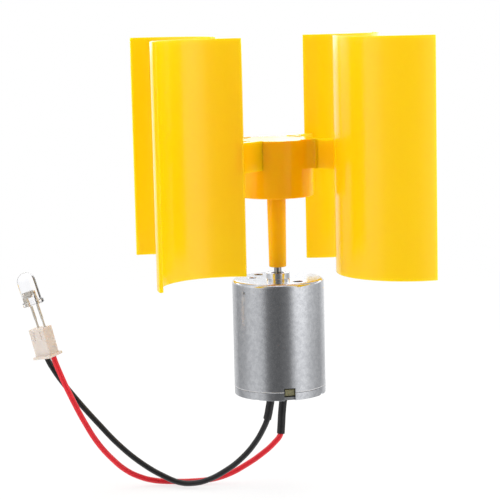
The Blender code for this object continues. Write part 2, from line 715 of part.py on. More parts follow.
def build_blade(blade, parent):
    """A vane and its arm in one piece. The arm's root stands in a slot of the hub."""
    name = f"blade_{blade + 1}"
    mesh = arc_sheet_mesh(
        name, VANE_RADIUS, VANE_START, VANE_END, VANE_BOTTOM, VANE_TOP, VANE_STEPS, VANE_CENTRE,
    )
    vane = add_part(name, mesh, "yellow", parent)
    vane.rotation_euler.z = math.radians(blade_azimuth(blade))
    thicken(vane, VANE_THICKNESS)
    half = ARM_THICKNESS / 2
    long_side, short_side = ARM_REACHES
    corners = [
        Vector((-ARM_INWARD, -half)), Vector((long_side, -half)),
        Vector((short_side, half)), Vector((-ARM_INWARD, half)),
    ]
    arm = outline_mesh(f"{name}_arm", [corners], ARM_BOTTOM, ARM_TOP)
    arm.transform(arm_place(blade))
    combine(vane, "UNION", add_cutter(arm.name, arm, parent))


# ---------------------------------------------------------------- leads
def route_points(route_mm):
    return [Vector(point) * MM for point in route_mm]


def build_sleeve(lead, parent):
    """Shrink tubing over the soldered joint, open at both ends."""
    name = f"sleeve_{lead}"
    route = smooth_route(route_points(SLEEVE_ROUTES_MM[lead]), SLEEVE_SPACING)
    middle = SLEEVE_RADIUS - SLEEVE_WALL / 2
    mesh = curve_mesh(name, tube_curve(name, route, middle, capped=False))
    thicken(add_part(name, mesh, "black_sleeve", parent), SLEEVE_WALL)


def build_lead(lead, parent):
    name = f"lead_{lead}"
    route = smooth_route(route_points(LEAD_ROUTES_MM[lead]), LEAD_SPACING)
    mesh = curve_mesh(name, tube_curve(name, route, LEAD_RADIUS))
    add_part(name, mesh, f"{lead}_insulation", parent)


# ---------------------------------------------------------------- connector and LED
def contact_places():
    """The row's two places: red on the anode's side, black on the cathode's."""
    return {"red": PITCH / 2, "black": -PITCH / 2}


def centred_box(name, size, bottom, centre=(0, 0)):
    low = (centre[0] - size[0] / 2, centre[1] - size[1] / 2, bottom)
    high = (centre[0] + size[0] / 2, centre[1] + size[1] / 2, bottom + size[2])
    return box_mesh(name, low, high)


def build_housing(parent):
    name = "connector_housing"
    body = centred_box(name, HOUSING_SIZE, 0, HOUSING_MIDDLE)
    housing = add_part(name, body, "cream_nylon", parent)
    flange = centred_box("housing_flange", FLANGE_SIZE, 0, HOUSING_MIDDLE)
    combine(housing, "UNION", add_cutter(flange.name, flange, parent))
    front = HOUSING_MIDDLE[1] - HOUSING_SIZE[1] / 2
    width, depth, height = KEYWAY_SIZE
    for lead, place in contact_places().items():
        size = (CAVITY_WIDTH, CAVITY_WIDTH, HOUSING_SIZE[2] + 2 * CUT)
        cavity = centred_box(f"{lead}_cavity", size, -CUT, (place, 0))
        combine(housing, "DIFFERENCE", add_cutter(cavity.name, cavity, parent))
        size = (width, depth + CUT, height)
        middle = (place, front + (depth - CUT) / 2)
        keyway = centred_box(f"{lead}_keyway", size, KEYWAY_BOTTOM, middle)
        combine(housing, "DIFFERENCE", add_cutter(keyway.name, keyway, parent))


def build_contact(lead, parent):
    """A spring contact: a square tube that grips the LED's lead."""
    name = f"contact_{lead}"
    bottom, top = CONTACT_SPAN
    place = (contact_places()[lead], 0)
    size = (CONTACT_WIDTH, CONTACT_WIDTH, top - bottom)
    contact = add_part(name, centred_box(name, size, bottom, place), "tinned_steel", parent)
    bore = CONTACT_WIDTH - 2 * CONTACT_WALL
    cut = centred_box(f"{name}_bore", (bore, bore, top - bottom + 2 * CUT), bottom - CUT, place)
    combine(contact, "DIFFERENCE", add_cutter(cut.name, cut, parent))


def build_led_lens(parent):
    base, top = LED_BASE, LED_BASE + LED_HEIGHT
    dome_centre = top - LED_RADIUS
    dome = [
        (LED_RADIUS * math.sin(angle), dome_centre + LED_RADIUS * math.cos(angle))
        for angle in (math.radians(15 * step) for step in range(7))
    ]
    flange_top = base + LED_FLANGE_HEIGHT
    points = [
        *dome, (LED_RADIUS, flange_top), (LED_FLANGE_RADIUS, flange_top),
        (LED_FLANGE_RADIUS, base), (0, base),
    ]
    points[0] = (0, top)
    lens = add_turned("led_lens", points, "clear_epoxy", parent, SMALL_STEPS)
    hollow = rod_mesh("lens_hollow", LED_HOLLOW_RADIUS, base - CUT, base + LED_HOLLOW_HEIGHT)
    combine(lens, "DIFFERENCE", add_cutter(hollow.name, hollow, parent))
    reach = LED_FLANGE_RADIUS + CUT
    flat = box_mesh("lens_flat", (-reach, -reach, base - CUT), (-LED_FLAT, reach, flange_top + CUT))
    combine(lens, "DIFFERENCE", add_cutter(flat.name, flat, parent))


def build_led_lead(name, side, parent):
    """A square lead with a wider stop under the lens, plus its post inside the lens."""
    place = (side * PITCH / 2, 0)
    size = (LED_LEAD_WIDTH, LED_LEAD_WIDTH, POST_TOP - LED_LEAD_BOTTOM)
    lead = add_part(name, centred_box(name, size, LED_LEAD_BOTTOM, place), "tinned_steel", parent)
    size = (LED_STOP_WIDTH, LED_LEAD_WIDTH + 0.02 * MM, LED_STOP_TOP - LED_STOP_BOTTOM)
    stop = centred_box(f"{name}_stop", size, LED_STOP_BOTTOM, place)
    combine(lead, "UNION", add_cutter(stop.name, stop, parent))
    return lead


def build_led(parent):
    """The lens, its two leads, and the chip in a cup on the cathode's anvil."""
    build_led_lens(parent)
    build_led_lead("led_anode", 1, parent)
    cathode = build_led_lead("led_cathode", -1, parent)
    half = LED_LEAD_WIDTH / 2 - 0.01 * MM
    low = (-PITCH / 2, -half, CUP_TOP - 1.7 * MM)
    anvil = box_mesh("cathode_anvil", low, (0.1 * MM, half, CUP_TOP - 0.7 * MM))
    combine(cathode, "UNION", add_cutter(anvil.name, anvil, parent))
    centre = (CUP_PLACE, 0)
    cup = rod_mesh("cathode_cup", CUP_RADIUS, CUP_BOTTOM, CUP_TOP, centre)
    combine(cathode, "UNION", add_cutter(cup.name, cup, parent))
    bowl = rod_mesh("cathode_bowl", CUP_RADIUS - CUP_WALL, CUP_FLOOR, CUP_TOP + CUT, centre)
    combine(cathode, "DIFFERENCE", add_cutter(bowl.name, bowl, parent))
    chip = centred_box("led_chip", CHIP_SIZE, CUP_FLOOR + GAP, centre)
    add_part("led_chip", chip, "chip", parent)


# ---------------------------------------------------------------- assembly
def leaning_frame(name, place, lean):
    frame = new_empty(name, place)
    frame.rotation_mode = "ZYX"
    frame.rotation_euler = (0, -math.radians(lean), -math.radians(PLUG_TURN))
    return frame


def build():
    stator = new_empty("motor_frame")
    rotor = new_empty("rotor_axis")
    plug = leaning_frame("plug_frame", PLUG_PLACE, PLUG_LEAN)
    led = leaning_frame("led_frame", LED_PLACE, LED_LEAN)
    bpy.context.view_layer.update()

    build_can(stator)
    build_end_plate(stator)
    build_brush_holder(stator)
    build_bearings(stator)
    build_magnets(stator)
    build_shaft(rotor)
    build_core(rotor)
    build_windings(rotor)
    build_commutator(rotor)
    build_hub(rotor)
    for blade in range(BLADES):
        build_blade(blade, rotor)
    build_housing(plug)
    for lead in LEADS:
        build_brush(lead, stator)
        build_sleeve(lead, stator)
        build_lead(lead, stator)
        build_contact(lead, plug)
    build_led(led)


build()
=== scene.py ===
"""The looks of a small vertical axis turbine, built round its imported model.

A yellow four-vane rotor stands on the shaft of a small DC motor, whose two leads end in a
connector with an LED plugged into it. Lengths are in metres, the origin is the middle of the
motor's rear face, and +Z is the rotor's axis.
"""
import logging
import math
from collections.abc import Mapping, Sequence
from dataclasses import dataclass, replace
from enum import Enum
from functools import cache

import bmesh
import bpy
from mathutils import Matrix, Vector

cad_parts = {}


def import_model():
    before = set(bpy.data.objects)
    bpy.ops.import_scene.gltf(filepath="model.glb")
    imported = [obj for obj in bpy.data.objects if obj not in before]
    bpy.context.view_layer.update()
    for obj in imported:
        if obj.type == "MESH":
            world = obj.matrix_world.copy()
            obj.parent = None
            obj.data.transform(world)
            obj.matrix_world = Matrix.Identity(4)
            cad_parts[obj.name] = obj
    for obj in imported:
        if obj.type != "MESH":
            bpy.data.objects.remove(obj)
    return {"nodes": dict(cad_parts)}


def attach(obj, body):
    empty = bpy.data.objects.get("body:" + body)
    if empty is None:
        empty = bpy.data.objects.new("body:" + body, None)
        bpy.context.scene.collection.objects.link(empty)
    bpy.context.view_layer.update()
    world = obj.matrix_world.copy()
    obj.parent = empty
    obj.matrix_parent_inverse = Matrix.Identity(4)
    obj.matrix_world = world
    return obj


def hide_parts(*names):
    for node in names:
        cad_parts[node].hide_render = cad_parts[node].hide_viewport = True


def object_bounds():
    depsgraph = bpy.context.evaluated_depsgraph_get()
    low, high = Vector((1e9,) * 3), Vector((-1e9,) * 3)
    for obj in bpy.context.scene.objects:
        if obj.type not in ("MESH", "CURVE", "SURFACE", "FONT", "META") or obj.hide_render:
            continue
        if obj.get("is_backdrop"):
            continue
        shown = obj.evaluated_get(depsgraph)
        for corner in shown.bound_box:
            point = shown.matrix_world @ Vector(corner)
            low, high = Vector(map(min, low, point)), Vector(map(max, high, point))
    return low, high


MM = 0.001
SMOOTH_ANGLE = math.radians(38)
LOG = logging.getLogger("turbine")

Point = tuple[float, float, float]
Pair = tuple[float, float]
Angles = tuple[float, ...]
Piece = bpy.types.Object
Socket = bpy.types.NodeSocket


def tint(colour: Point) -> Point:
    """Turns a colour on a scale of 0 to 255 into the linear one that shaders take."""
    shares = (level / 255 for level in colour)
    return tuple(s / 12.92 if s <= 0.04045 else ((s + 0.055) / 1.055) ** 2.4 for s in shares)


def turned(degrees: float, axis: str = "Z") -> Matrix:
    """A turn about an axis, usually the rotor's."""
    return Matrix.Rotation(math.radians(degrees), 4, axis)


def polar(radius: float, degrees: float) -> Vector:
    """A point at a radius and an azimuth."""
    angle = math.radians(degrees)
    return Vector((radius * math.cos(angle), radius * math.sin(angle), 0))


def shown(name: str, data: bpy.types.ID) -> Piece:
    """A new object in the scene, at the origin."""
    made = bpy.data.objects.new(name, data)
    bpy.context.scene.collection.objects.link(made)
    return made


# ---- shaders
class Number:
    """A number on a socket. An expression on it adds its Math nodes to the tree."""

    def __init__(self, nodes: "Nodes", socket: Socket) -> None:
        """Wraps a socket of a tree."""
        self.nodes = nodes
        self.socket = socket

    def __add__(self, other: "Number | float") -> "Number":
        """The sum."""
        return self.nodes.maths("ADD", self, other)

    def __sub__(self, other: "Number | float") -> "Number":
        """The difference."""
        return self.nodes.maths("SUBTRACT", self, other)

    def __rsub__(self, other: float) -> "Number":
        """The difference, from a plain number."""
        return self.nodes.maths("SUBTRACT", other, self)

    def __mul__(self, other: "Number | float") -> "Number":
        """The product."""
        return self.nodes.maths("MULTIPLY", self, other)

    def __pow__(self, other: float) -> "Number":
        """The power."""
        return self.nodes.maths("POWER", self, other)

    __radd__ = __add__
    __rmul__ = __mul__


class Nodes:
    """Adds nodes to a shader's or the world's tree."""

    def __init__(self, tree: bpy.types.NodeTree) -> None:
        """Works on one tree."""
        self.tree = tree

    def add(
        self,
        kind: str,
        settings: Mapping[str, object] | None = None,
        inputs: Mapping[str | int, object] | None = None,
    ) -> bpy.types.Node:
        """Makes a node.

        Args:
            kind: The node's type.
            settings: Its properties, set before its sockets. "stops" are a ramp's.
            inputs: The values or links of its sockets, by name or number.

        Returns:
            The node.
        """
        node = self.tree.nodes.new(kind)
        for name, value in (settings or {}).items():
            if name == "stops":
                ramp = node.color_ramp.elements
                for number, (place, level) in enumerate(value):
                    stop = ramp[number] if number < 1 else ramp.new(place)
                    stop.position = place
                    stop.color = (level, level, level, 1)
                ramp.remove(ramp[-1])
            else:
                setattr(node, name, value)
        for name, value in (inputs or {}).items():
            self.feed(node.inputs[name], value)
        return node

    def feed(self, socket: Socket, value: object) -> None:
        """Links or sets a socket.

        Args:
            socket: The input.
            value: A Number or another node's output to link, or a plain value.
        """
        if isinstance(value, Number):
            value = value.socket
        if isinstance(value, Socket):
            self.tree.links.new(value, socket)
        else:
            socket.default_value = value

    def maths(self, operation: str, *terms: object) -> Number:
        """The result of a Math node on up to three terms."""
        node = self.add("ShaderNodeMath", {"operation": operation}, dict(enumerate(terms)))
        return Number(self, node.outputs[0])

    def within(self, value: Number, low: float, high: float) -> Number:
        """How far a value has come from low to high, from 0 to 1, eased at both ends."""
        ends = {"Value": value, "From Min": low, "From Max": high}
        node = self.add("ShaderNodeMapRange", {"interpolation_type": "SMOOTHSTEP"}, ends)
        return Number(self, node.outputs[0])

    def place(self) -> Socket:
        """The point on the object, in its own coordinates."""
        return self.add("ShaderNodeTexCoord").outputs["Object"]

    def axes(self, vector: Socket) -> tuple[Number, Number, Number]:
        """The three numbers of a vector."""
        parts = self.add("ShaderNodeSeparateXYZ", inputs={"Vector": vector}).outputs
        return Number(self, parts[0]), Number(self, parts[1]), Number(self, parts[2])

    def noise(
        self, place: Socket, size: float, detail: float, stretch: Point = (1, 1, 1),
    ) -> Number:
        """Soft random mottling.

        Args:
            place: The coordinates that it follows.
            size: How wide one patch is, in metres.
            detail: How many finer layers it has.
            stretch: How much longer the patches are along each axis.

        Returns:
            A number about 0.5.
        """
        scale = tuple(1 / (size * share) for share in stretch)
        mapped = self.add("ShaderNodeMapping", inputs={"Vector": place, "Scale": scale})
        inputs = {"Vector": mapped.outputs[0], "Scale": 1.0, "Detail": detail}
        return Number(self, self.add("ShaderNodeTexNoise", inputs=inputs).outputs[0])

    def blend(self, share: Number, first: Point, second: Point) -> Socket:
        """A colour between two others."""
        sides = {0: share, 6: (*first, 1), 7: (*second, 1)}
        return self.add("ShaderNodeMix", {"data_type": "RGBA"}, sides).outputs[2]

    def bump(self, height: Number, depth: float) -> Socket:
        """The normal over a relief whose height goes from 0 to 1 over a depth in metres."""
        return self.add("ShaderNodeBump", None, {"Distance": depth, "Height": height}).outputs[0]

    def seen(self) -> Number:
        """1 for a ray from the eye, straight or by gloss or through glass, and otherwise 0."""
        path = self.add("ShaderNodeLightPath").outputs
        total = Number(self, path["Is Camera Ray"])
        for name in ("Is Glossy Ray", "Is Transmission Ray"):
            total = self.maths("MAXIMUM", total, path[name])
        return total

    def end(self, surface: Socket) -> None:
        """Ends a material's tree in its surface."""
        self.feed(self.tree.nodes["Material Output"].inputs["Surface"], surface)


class Pattern(Enum):
    """The pattern that a finish has besides its grain."""

    PLAIN = "plain"
    STACKED = "thin sheets stacked along Z"
    WOUND = "turns of wire laid side by side outwards from Z"
    MOULDED = "faint upright draw lines from a mould"


# how sharply the mottling turns, how much of the colour is patches or a pattern's lines, how
# much of the relief is lines, and how long a mould's draw lines are
CONTRAST = (0.3, 0.7)
PATCH_SHARE = 0.6
LINE_SHARE = 0.6
LINE_RELIEF = 0.7
DRAW_LENGTH = (1.0, 1.0, 60.0)


@dataclass(frozen=True)
class Finish:
    """A material: its colours on a scale of 0 to 255, and lengths in millimetres."""

    slot: str
    colour: Point
    shade: Point
    roughness: Pair
    mottle: float = 4.0
    grain: float = 0.3
    stretch: Point = (1.0, 1.0, 1.0)
    relief: float = 0.004
    metallic: float = 0.0
    pattern: Pattern = Pattern.PLAIN
    pitch: float = 0.5
    scatter: float = 0.0
    reach: Point = (0.0, 0.0, 0.0)
    coat: float = 0.0
    clear: float = 0.0
    index: float = 1.5
    shine: float = 0.5
    kind: str = "finish"

    @cache
    def material(self) -> bpy.types.Material:
        """The material, built when it is first asked for."""
        made = bpy.data.materials.new(f"{self.slot}_{self.kind}")
        made.use_nodes = True
        nodes = Nodes(made.node_tree)
        shader = made.node_tree.nodes["Principled BSDF"]
        place = nodes.place()
        patches = nodes.within(nodes.noise(place, self.mottle * MM, 3.0), *CONTRAST)
        grain = nodes.noise(place, self.grain * MM, 2.0, self.stretch)
        lines = self.lines(nodes, place)
        share = PATCH_SHARE * patches + (1 - PATCH_SHARE) * nodes.within(grain, *CONTRAST)
        height = grain
        if lines:
            share = share * (1 - LINE_SHARE) + lines * LINE_SHARE
            height = grain * (1 - LINE_RELIEF) + lines * LINE_RELIEF
        low, high = self.roughness
        values = {
            "Base Color": nodes.blend(share, tint(self.colour), tint(self.shade)),
            "Roughness": low + (high - low) * share,
            "Metallic": self.metallic,
            "Coat Weight": self.coat,
            "Transmission Weight": self.clear,
            "IOR": self.index,
            "Specular IOR Level": self.shine,
            "Subsurface Weight": self.scatter,
            "Subsurface Radius": tuple(share * MM for share in self.reach),
            "Subsurface Scale": 1.0,
        }
        if self.relief:
            values["Normal"] = nodes.bump(height, self.relief * MM)
        for name, value in values.items():
            nodes.feed(shader.inputs[name], value)
        return made

    def lines(self, nodes: Nodes, place: Socket) -> Number | None:
        """The pattern's own lines, as a number from 0 to 1, or None where it has none."""
        if self.pattern is Pattern.PLAIN:
            return None
        x, y, z = nodes.axes(place)
        if self.pattern is Pattern.MOULDED:
            return nodes.noise(place, self.pitch * MM, 1.0, DRAW_LENGTH)
        across = z if self.pattern is Pattern.STACKED else (x * x + y * y) ** 0.5
        return 0.5 + 0.5 * nodes.maths("SINE", across * (math.tau / (self.pitch * MM)))

    def dress(self, piece: Piece) -> None:
        """Puts the material on a piece or a CAD node, in every slot that it has."""
        if not piece.material_slots:
            piece.data.materials.append(self.material())
        for holder in piece.material_slots:
            holder.material = self.material()


YELLOW = Finish(
    "yellow_plastic", (255, 197, 10), (253, 193, 8), (0.15, 0.22),
    mottle=14, grain=0.6, relief=0.02, pattern=Pattern.MOULDED, pitch=1.6,
    scatter=0.85, reach=(3.3, 3.3, 0.4),
)
# The same yellow plastic for the hub, made deeper orange, less glossy and with a shorter scatter:
# painted shade standing in for the shadow and the orange light bounced round the hub between the
# vanes.
PAINTED_SHADE_YELLOW = replace(
    YELLOW, kind="painted_shade", colour=(255, 188, 1), shade=(253, 183, 1), shine=0.22,
    reach=(1.1, 0.7, 0.1),
)
PLATED = Finish(
    "plated_steel", (234, 236, 240), (206, 208, 213), (0.13, 0.2),
    mottle=1.2, grain=0.24, stretch=(1, 1, 1.8), relief=0.013, metallic=1.0,
)
# A lighter, rougher, half-metal copy of the plated steel for the band along the seam: a painted
# highlight standing in for the bright line that the seam's edge reflects.
PAINTED_HIGHLIGHT_STEEL = Finish(
    "plated_steel", (222, 222, 224), (206, 207, 210), (0.34, 0.42), kind="painted_highlight",
    mottle=0.8, grain=0.1, relief=0.003, metallic=0.5,
)
POLISHED = Finish(
    "polished_steel", (186, 184, 182), (158, 156, 154), (0.10, 0.20),
    mottle=1.0, grain=0.1, stretch=(6, 6, 1), relief=0.003, metallic=1.0,
)
BRONZE = Finish(
    "bronze", (150, 118, 72), (112, 86, 52), (0.4, 0.6),
    mottle=0.8, grain=0.08, relief=0.01, metallic=1.0,
)
LAMINATION = Finish(
    "lamination", (120, 122, 126), (82, 84, 90), (0.4, 0.55),
    pattern=Pattern.STACKED, relief=0.05, metallic=1.0,
)
FERRITE = Finish(
    "ferrite", (58, 58, 62), (44, 44, 47), (0.7, 0.85), mottle=2, grain=0.12, relief=0.02,
)
ENAMELLED = Finish(
    "enamelled_copper", (196, 92, 40), (120, 46, 20), (0.22, 0.34),
    pattern=Pattern.WOUND, pitch=0.3, relief=0.1, metallic=1.0, coat=0.5,
)
COPPER = Finish(
    "copper", (222, 142, 108), (176, 100, 72), (0.24, 0.4),
    mottle=0.9, grain=0.05, stretch=(8, 8, 1), relief=0.005, metallic=1.0,
)
BRASS = Finish(
    "brass", (214, 182, 112), (178, 146, 84), (0.25, 0.38),
    mottle=1, grain=0.1, relief=0.005, metallic=1.0,
)
PHOSPHOR_BRONZE = Finish(
    "phosphor_bronze", (214, 168, 122), (184, 132, 90), (0.22, 0.34),
    mottle=1, grain=0.1, stretch=(1, 1, 6), metallic=1.0,
)
KHAKI = Finish(
    "khaki_plastic", (132, 128, 94), (104, 100, 72), (0.5, 0.62),
    mottle=0.9, grain=0.12, relief=0.012,
)
BLACK = Finish(
    "black_plastic", (38, 38, 40), (28, 28, 30), (0.42, 0.55), relief=0.01,
)
FIBRE = Finish(
    "fibre", (186, 108, 82), (158, 84, 62), (0.75, 0.88),
    mottle=1.4, grain=0.1, stretch=(4, 1, 1), relief=0.015,
)
SLEEVE = Finish(
    "black_sleeve", (34, 33, 35), (22, 21, 23), (0.34, 0.46), mottle=1.6, grain=0.5, relief=0.05,
)
RED_WIRE = Finish(
    "red_insulation", (234, 34, 48), (220, 24, 40), (0.28, 0.36), mottle=3, relief=0.008,
)
BLACK_WIRE = Finish(
    "black_insulation", (32, 32, 34), (22, 22, 24), (0.28, 0.38), mottle=3, relief=0.008,
)
CREAM = Finish(
    "cream_nylon", (224, 214, 206), (216, 205, 196), (0.38, 0.48),
    mottle=2.6, grain=0.25, relief=0.008, scatter=0.3, reach=(1.2, 0.9, 0.6),
)
TINNED = Finish(
    "tinned_steel", (216, 212, 204), (192, 186, 174), (0.22, 0.36),
    mottle=0.7, grain=0.06, stretch=(1, 1, 5), metallic=0.5,
)
CLEAR = Finish(
    "clear_epoxy", (253, 253, 255), (250, 251, 254), (0.0, 0.02),
    relief=0.0, mottle=2, clear=1.0, index=1.53,
)
CHIP = Finish(
    "led_chip", (212, 206, 120), (180, 176, 96), (0.3, 0.5), grain=0.05,
)


# ---- shapes
class Cut(Enum):
    """What a shape does to another one that it meets."""

    JOIN = "UNION"
    REMOVE = "DIFFERENCE"


class Shape:
    """A closed mesh in the making."""

    def __init__(self) -> None:
        """Starts with nothing in it."""
        self.bm = bmesh.new()

    @classmethod
    def turned(cls, profile: Sequence[Pair], steps: int = 96) -> "Shape":
        """Spins a profile round Z.

        Args:
            profile: Its (radius, height) points, from axis to axis or else all round a ring.
            steps: How many faces go round.

        Returns:
            The shape.
        """
        made = cls()
        verts = [made.bm.verts.new((radius, 0, height)) for radius, height in profile]
        ends = verts[1:] + verts[:1] if profile[0][0] > 0 else verts[1:]
        edges = [made.bm.edges.new(pair) for pair in zip(verts, ends)]
        return made.spun(verts + edges, (0, 0, 0), 360, steps).welded()

    @classmethod
    def block(cls, low: Sequence[float], high: Sequence[float]) -> "Shape":
        """A box between two corners."""
        made = cls()
        low, high = Vector(low), Vector(high)
        place = Matrix.Translation((low + high) / 2) @ Matrix.Diagonal((*(high - low), 1))
        bmesh.ops.create_cube(made.bm, size=1, matrix=place)
        return made

    @classmethod
    def prism(cls, outline: Sequence[Sequence[float]], bottom: float, top: float) -> "Shape":
        """A flat outline raised between two heights."""
        made = cls()
        verts = [made.bm.verts.new((x, y, bottom)) for x, y in outline]
        face = made.bm.faces.new(verts)
        raised = bmesh.ops.extrude_face_region(made.bm, geom=[face])["geom"]
        lifted = [item for item in raised if isinstance(item, bmesh.types.BMVert)]
        bmesh.ops.translate(made.bm, vec=(0, 0, top - bottom), verts=lifted)
        return made.welded()

    @classmethod
    def rod(
        cls, radius: float, bottom: float, top: float, centre: Sequence[float] = (0, 0),
        steps: int = 48, top_radius: float | None = None,
    ) -> "Shape":
        """An upright rod or cone about a centre."""
        made = cls()
        place = Matrix.Translation((centre[0], centre[1], (bottom + top) / 2))
        bmesh.ops.create_cone(
            made.bm, cap_ends=True, segments=steps, radius1=radius,
            radius2=radius if top_radius is None else top_radius,
            depth=top - bottom, matrix=place,
        )
        return made

    def spun(
        self, geom: Sequence[object], centre: Sequence[float], degrees: float, steps: int = 96,
    ) -> "Shape":
        """Sweeps a part of it round an upright axis, and closes a full turn."""
        bmesh.ops.spin(
            self.bm, geom=geom, cent=centre, axis=(0, 0, 1), angle=math.radians(degrees),
            steps=steps, use_merge=degrees == 360,
        )
        return self

    def welded(self) -> "Shape":
        """Merges its doubles and turns its faces outwards."""
        bmesh.ops.remove_doubles(self.bm, verts=self.bm.verts, dist=1e-7)
        bmesh.ops.recalc_face_normals(self.bm, faces=self.bm.faces)
        return self

    def moved(self, place: Matrix) -> "Shape":
        """Moves and turns it."""
        bmesh.ops.transform(self.bm, matrix=place, verts=self.bm.verts)
        return self

    def softened(self, width: float, segments: int = 2, angle: float = 50.0) -> "Shape":
        """Rounds the edges whose faces meet at more than an angle in degrees."""
        limit = math.radians(angle)
        edges = [
            edge for edge in self.bm.edges
            if len(edge.link_faces) == 2 and edge.calc_face_angle(0.0) > limit
        ]
        bmesh.ops.bevel(
            self.bm, geom=edges, offset=width, offset_type="OFFSET", segments=segments,
            profile=0.5, affect="EDGES", material=-1, clamp_overlap=True,
        )
        return self

    def mesh(self, name: str) -> bpy.types.Mesh:
        """Ends the making and gives the mesh."""
        made = bpy.data.meshes.new(name)
        self.bm.to_mesh(made)
        self.bm.free()
        return made

    def combined(self, way: Cut, *others: "Shape") -> "Shape":
        """Joins other shapes to it, or removes them from it.

        Args:
            way: What the others do.
            others: The shapes, which are used up.

        Returns:
            The shape itself.
        """
        body = shown("body_in_work", self.mesh("body_in_work"))
        tools = [shown("tool_in_work", other.mesh("tool_in_work")) for other in others]
        for tool in tools:
            boolean = body.modifiers.new("cut", "BOOLEAN")
            boolean.operation, boolean.object, boolean.solver = way.value, tool, "EXACT"
        graph = bpy.context.evaluated_depsgraph_get()
        self.bm = bmesh.new()
        result = body.evaluated_get(graph)
        self.bm.from_mesh(result.to_mesh())
        result.to_mesh_clear()
        for used in (body, *tools):
            mesh = used.data
            bpy.data.objects.remove(used)
            bpy.data.meshes.remove(mesh)
        return self


@dataclass
class Assembly:
    """A sub-assembly whose pieces all ride on one body."""

    body: str
    nodes: Mapping[str, Piece]

    def settle(self, piece: Piece, finish: Finish, stands_for: Sequence[str] = ()) -> Piece:
        """Dresses a piece, seats it on the body and hides the CAD nodes that it stands for."""
        finish.dress(piece)
        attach(piece, self.body)
        if stands_for:
            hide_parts(*stands_for)
        LOG.info("%s rides on %s in %s", piece.name, self.body, finish.slot)
        return piece

    def add(
        self, name: str, shape: Shape, finish: Finish, stands_for: Sequence[str] = (),
    ) -> Piece:
        """Makes a shape a smooth-shaded piece.

        Args:
            name: The piece's name.
            shape: Its shape, which is used up.
            finish: Its material.
            stands_for: The CAD nodes that it replaces.

        Returns:
            The piece.
        """
        mesh = shape.mesh(name)
        mesh.shade_smooth()
        mesh.set_sharp_from_angle(angle=SMOOTH_ANGLE)
        piece = shown(name, mesh)
        piece.modifiers.new("even_shading", "WEIGHTED_NORMAL").keep_sharp = True
        return self.settle(piece, finish, stands_for)

    def keep(self, finishes: Mapping[str, Finish]) -> None:
        """Dresses CAD nodes that stay as they are."""
        for node, finish in finishes.items():
            finish.dress(self.nodes[node])
            LOG.info("%s keeps its shape in %s", node, finish.slot)


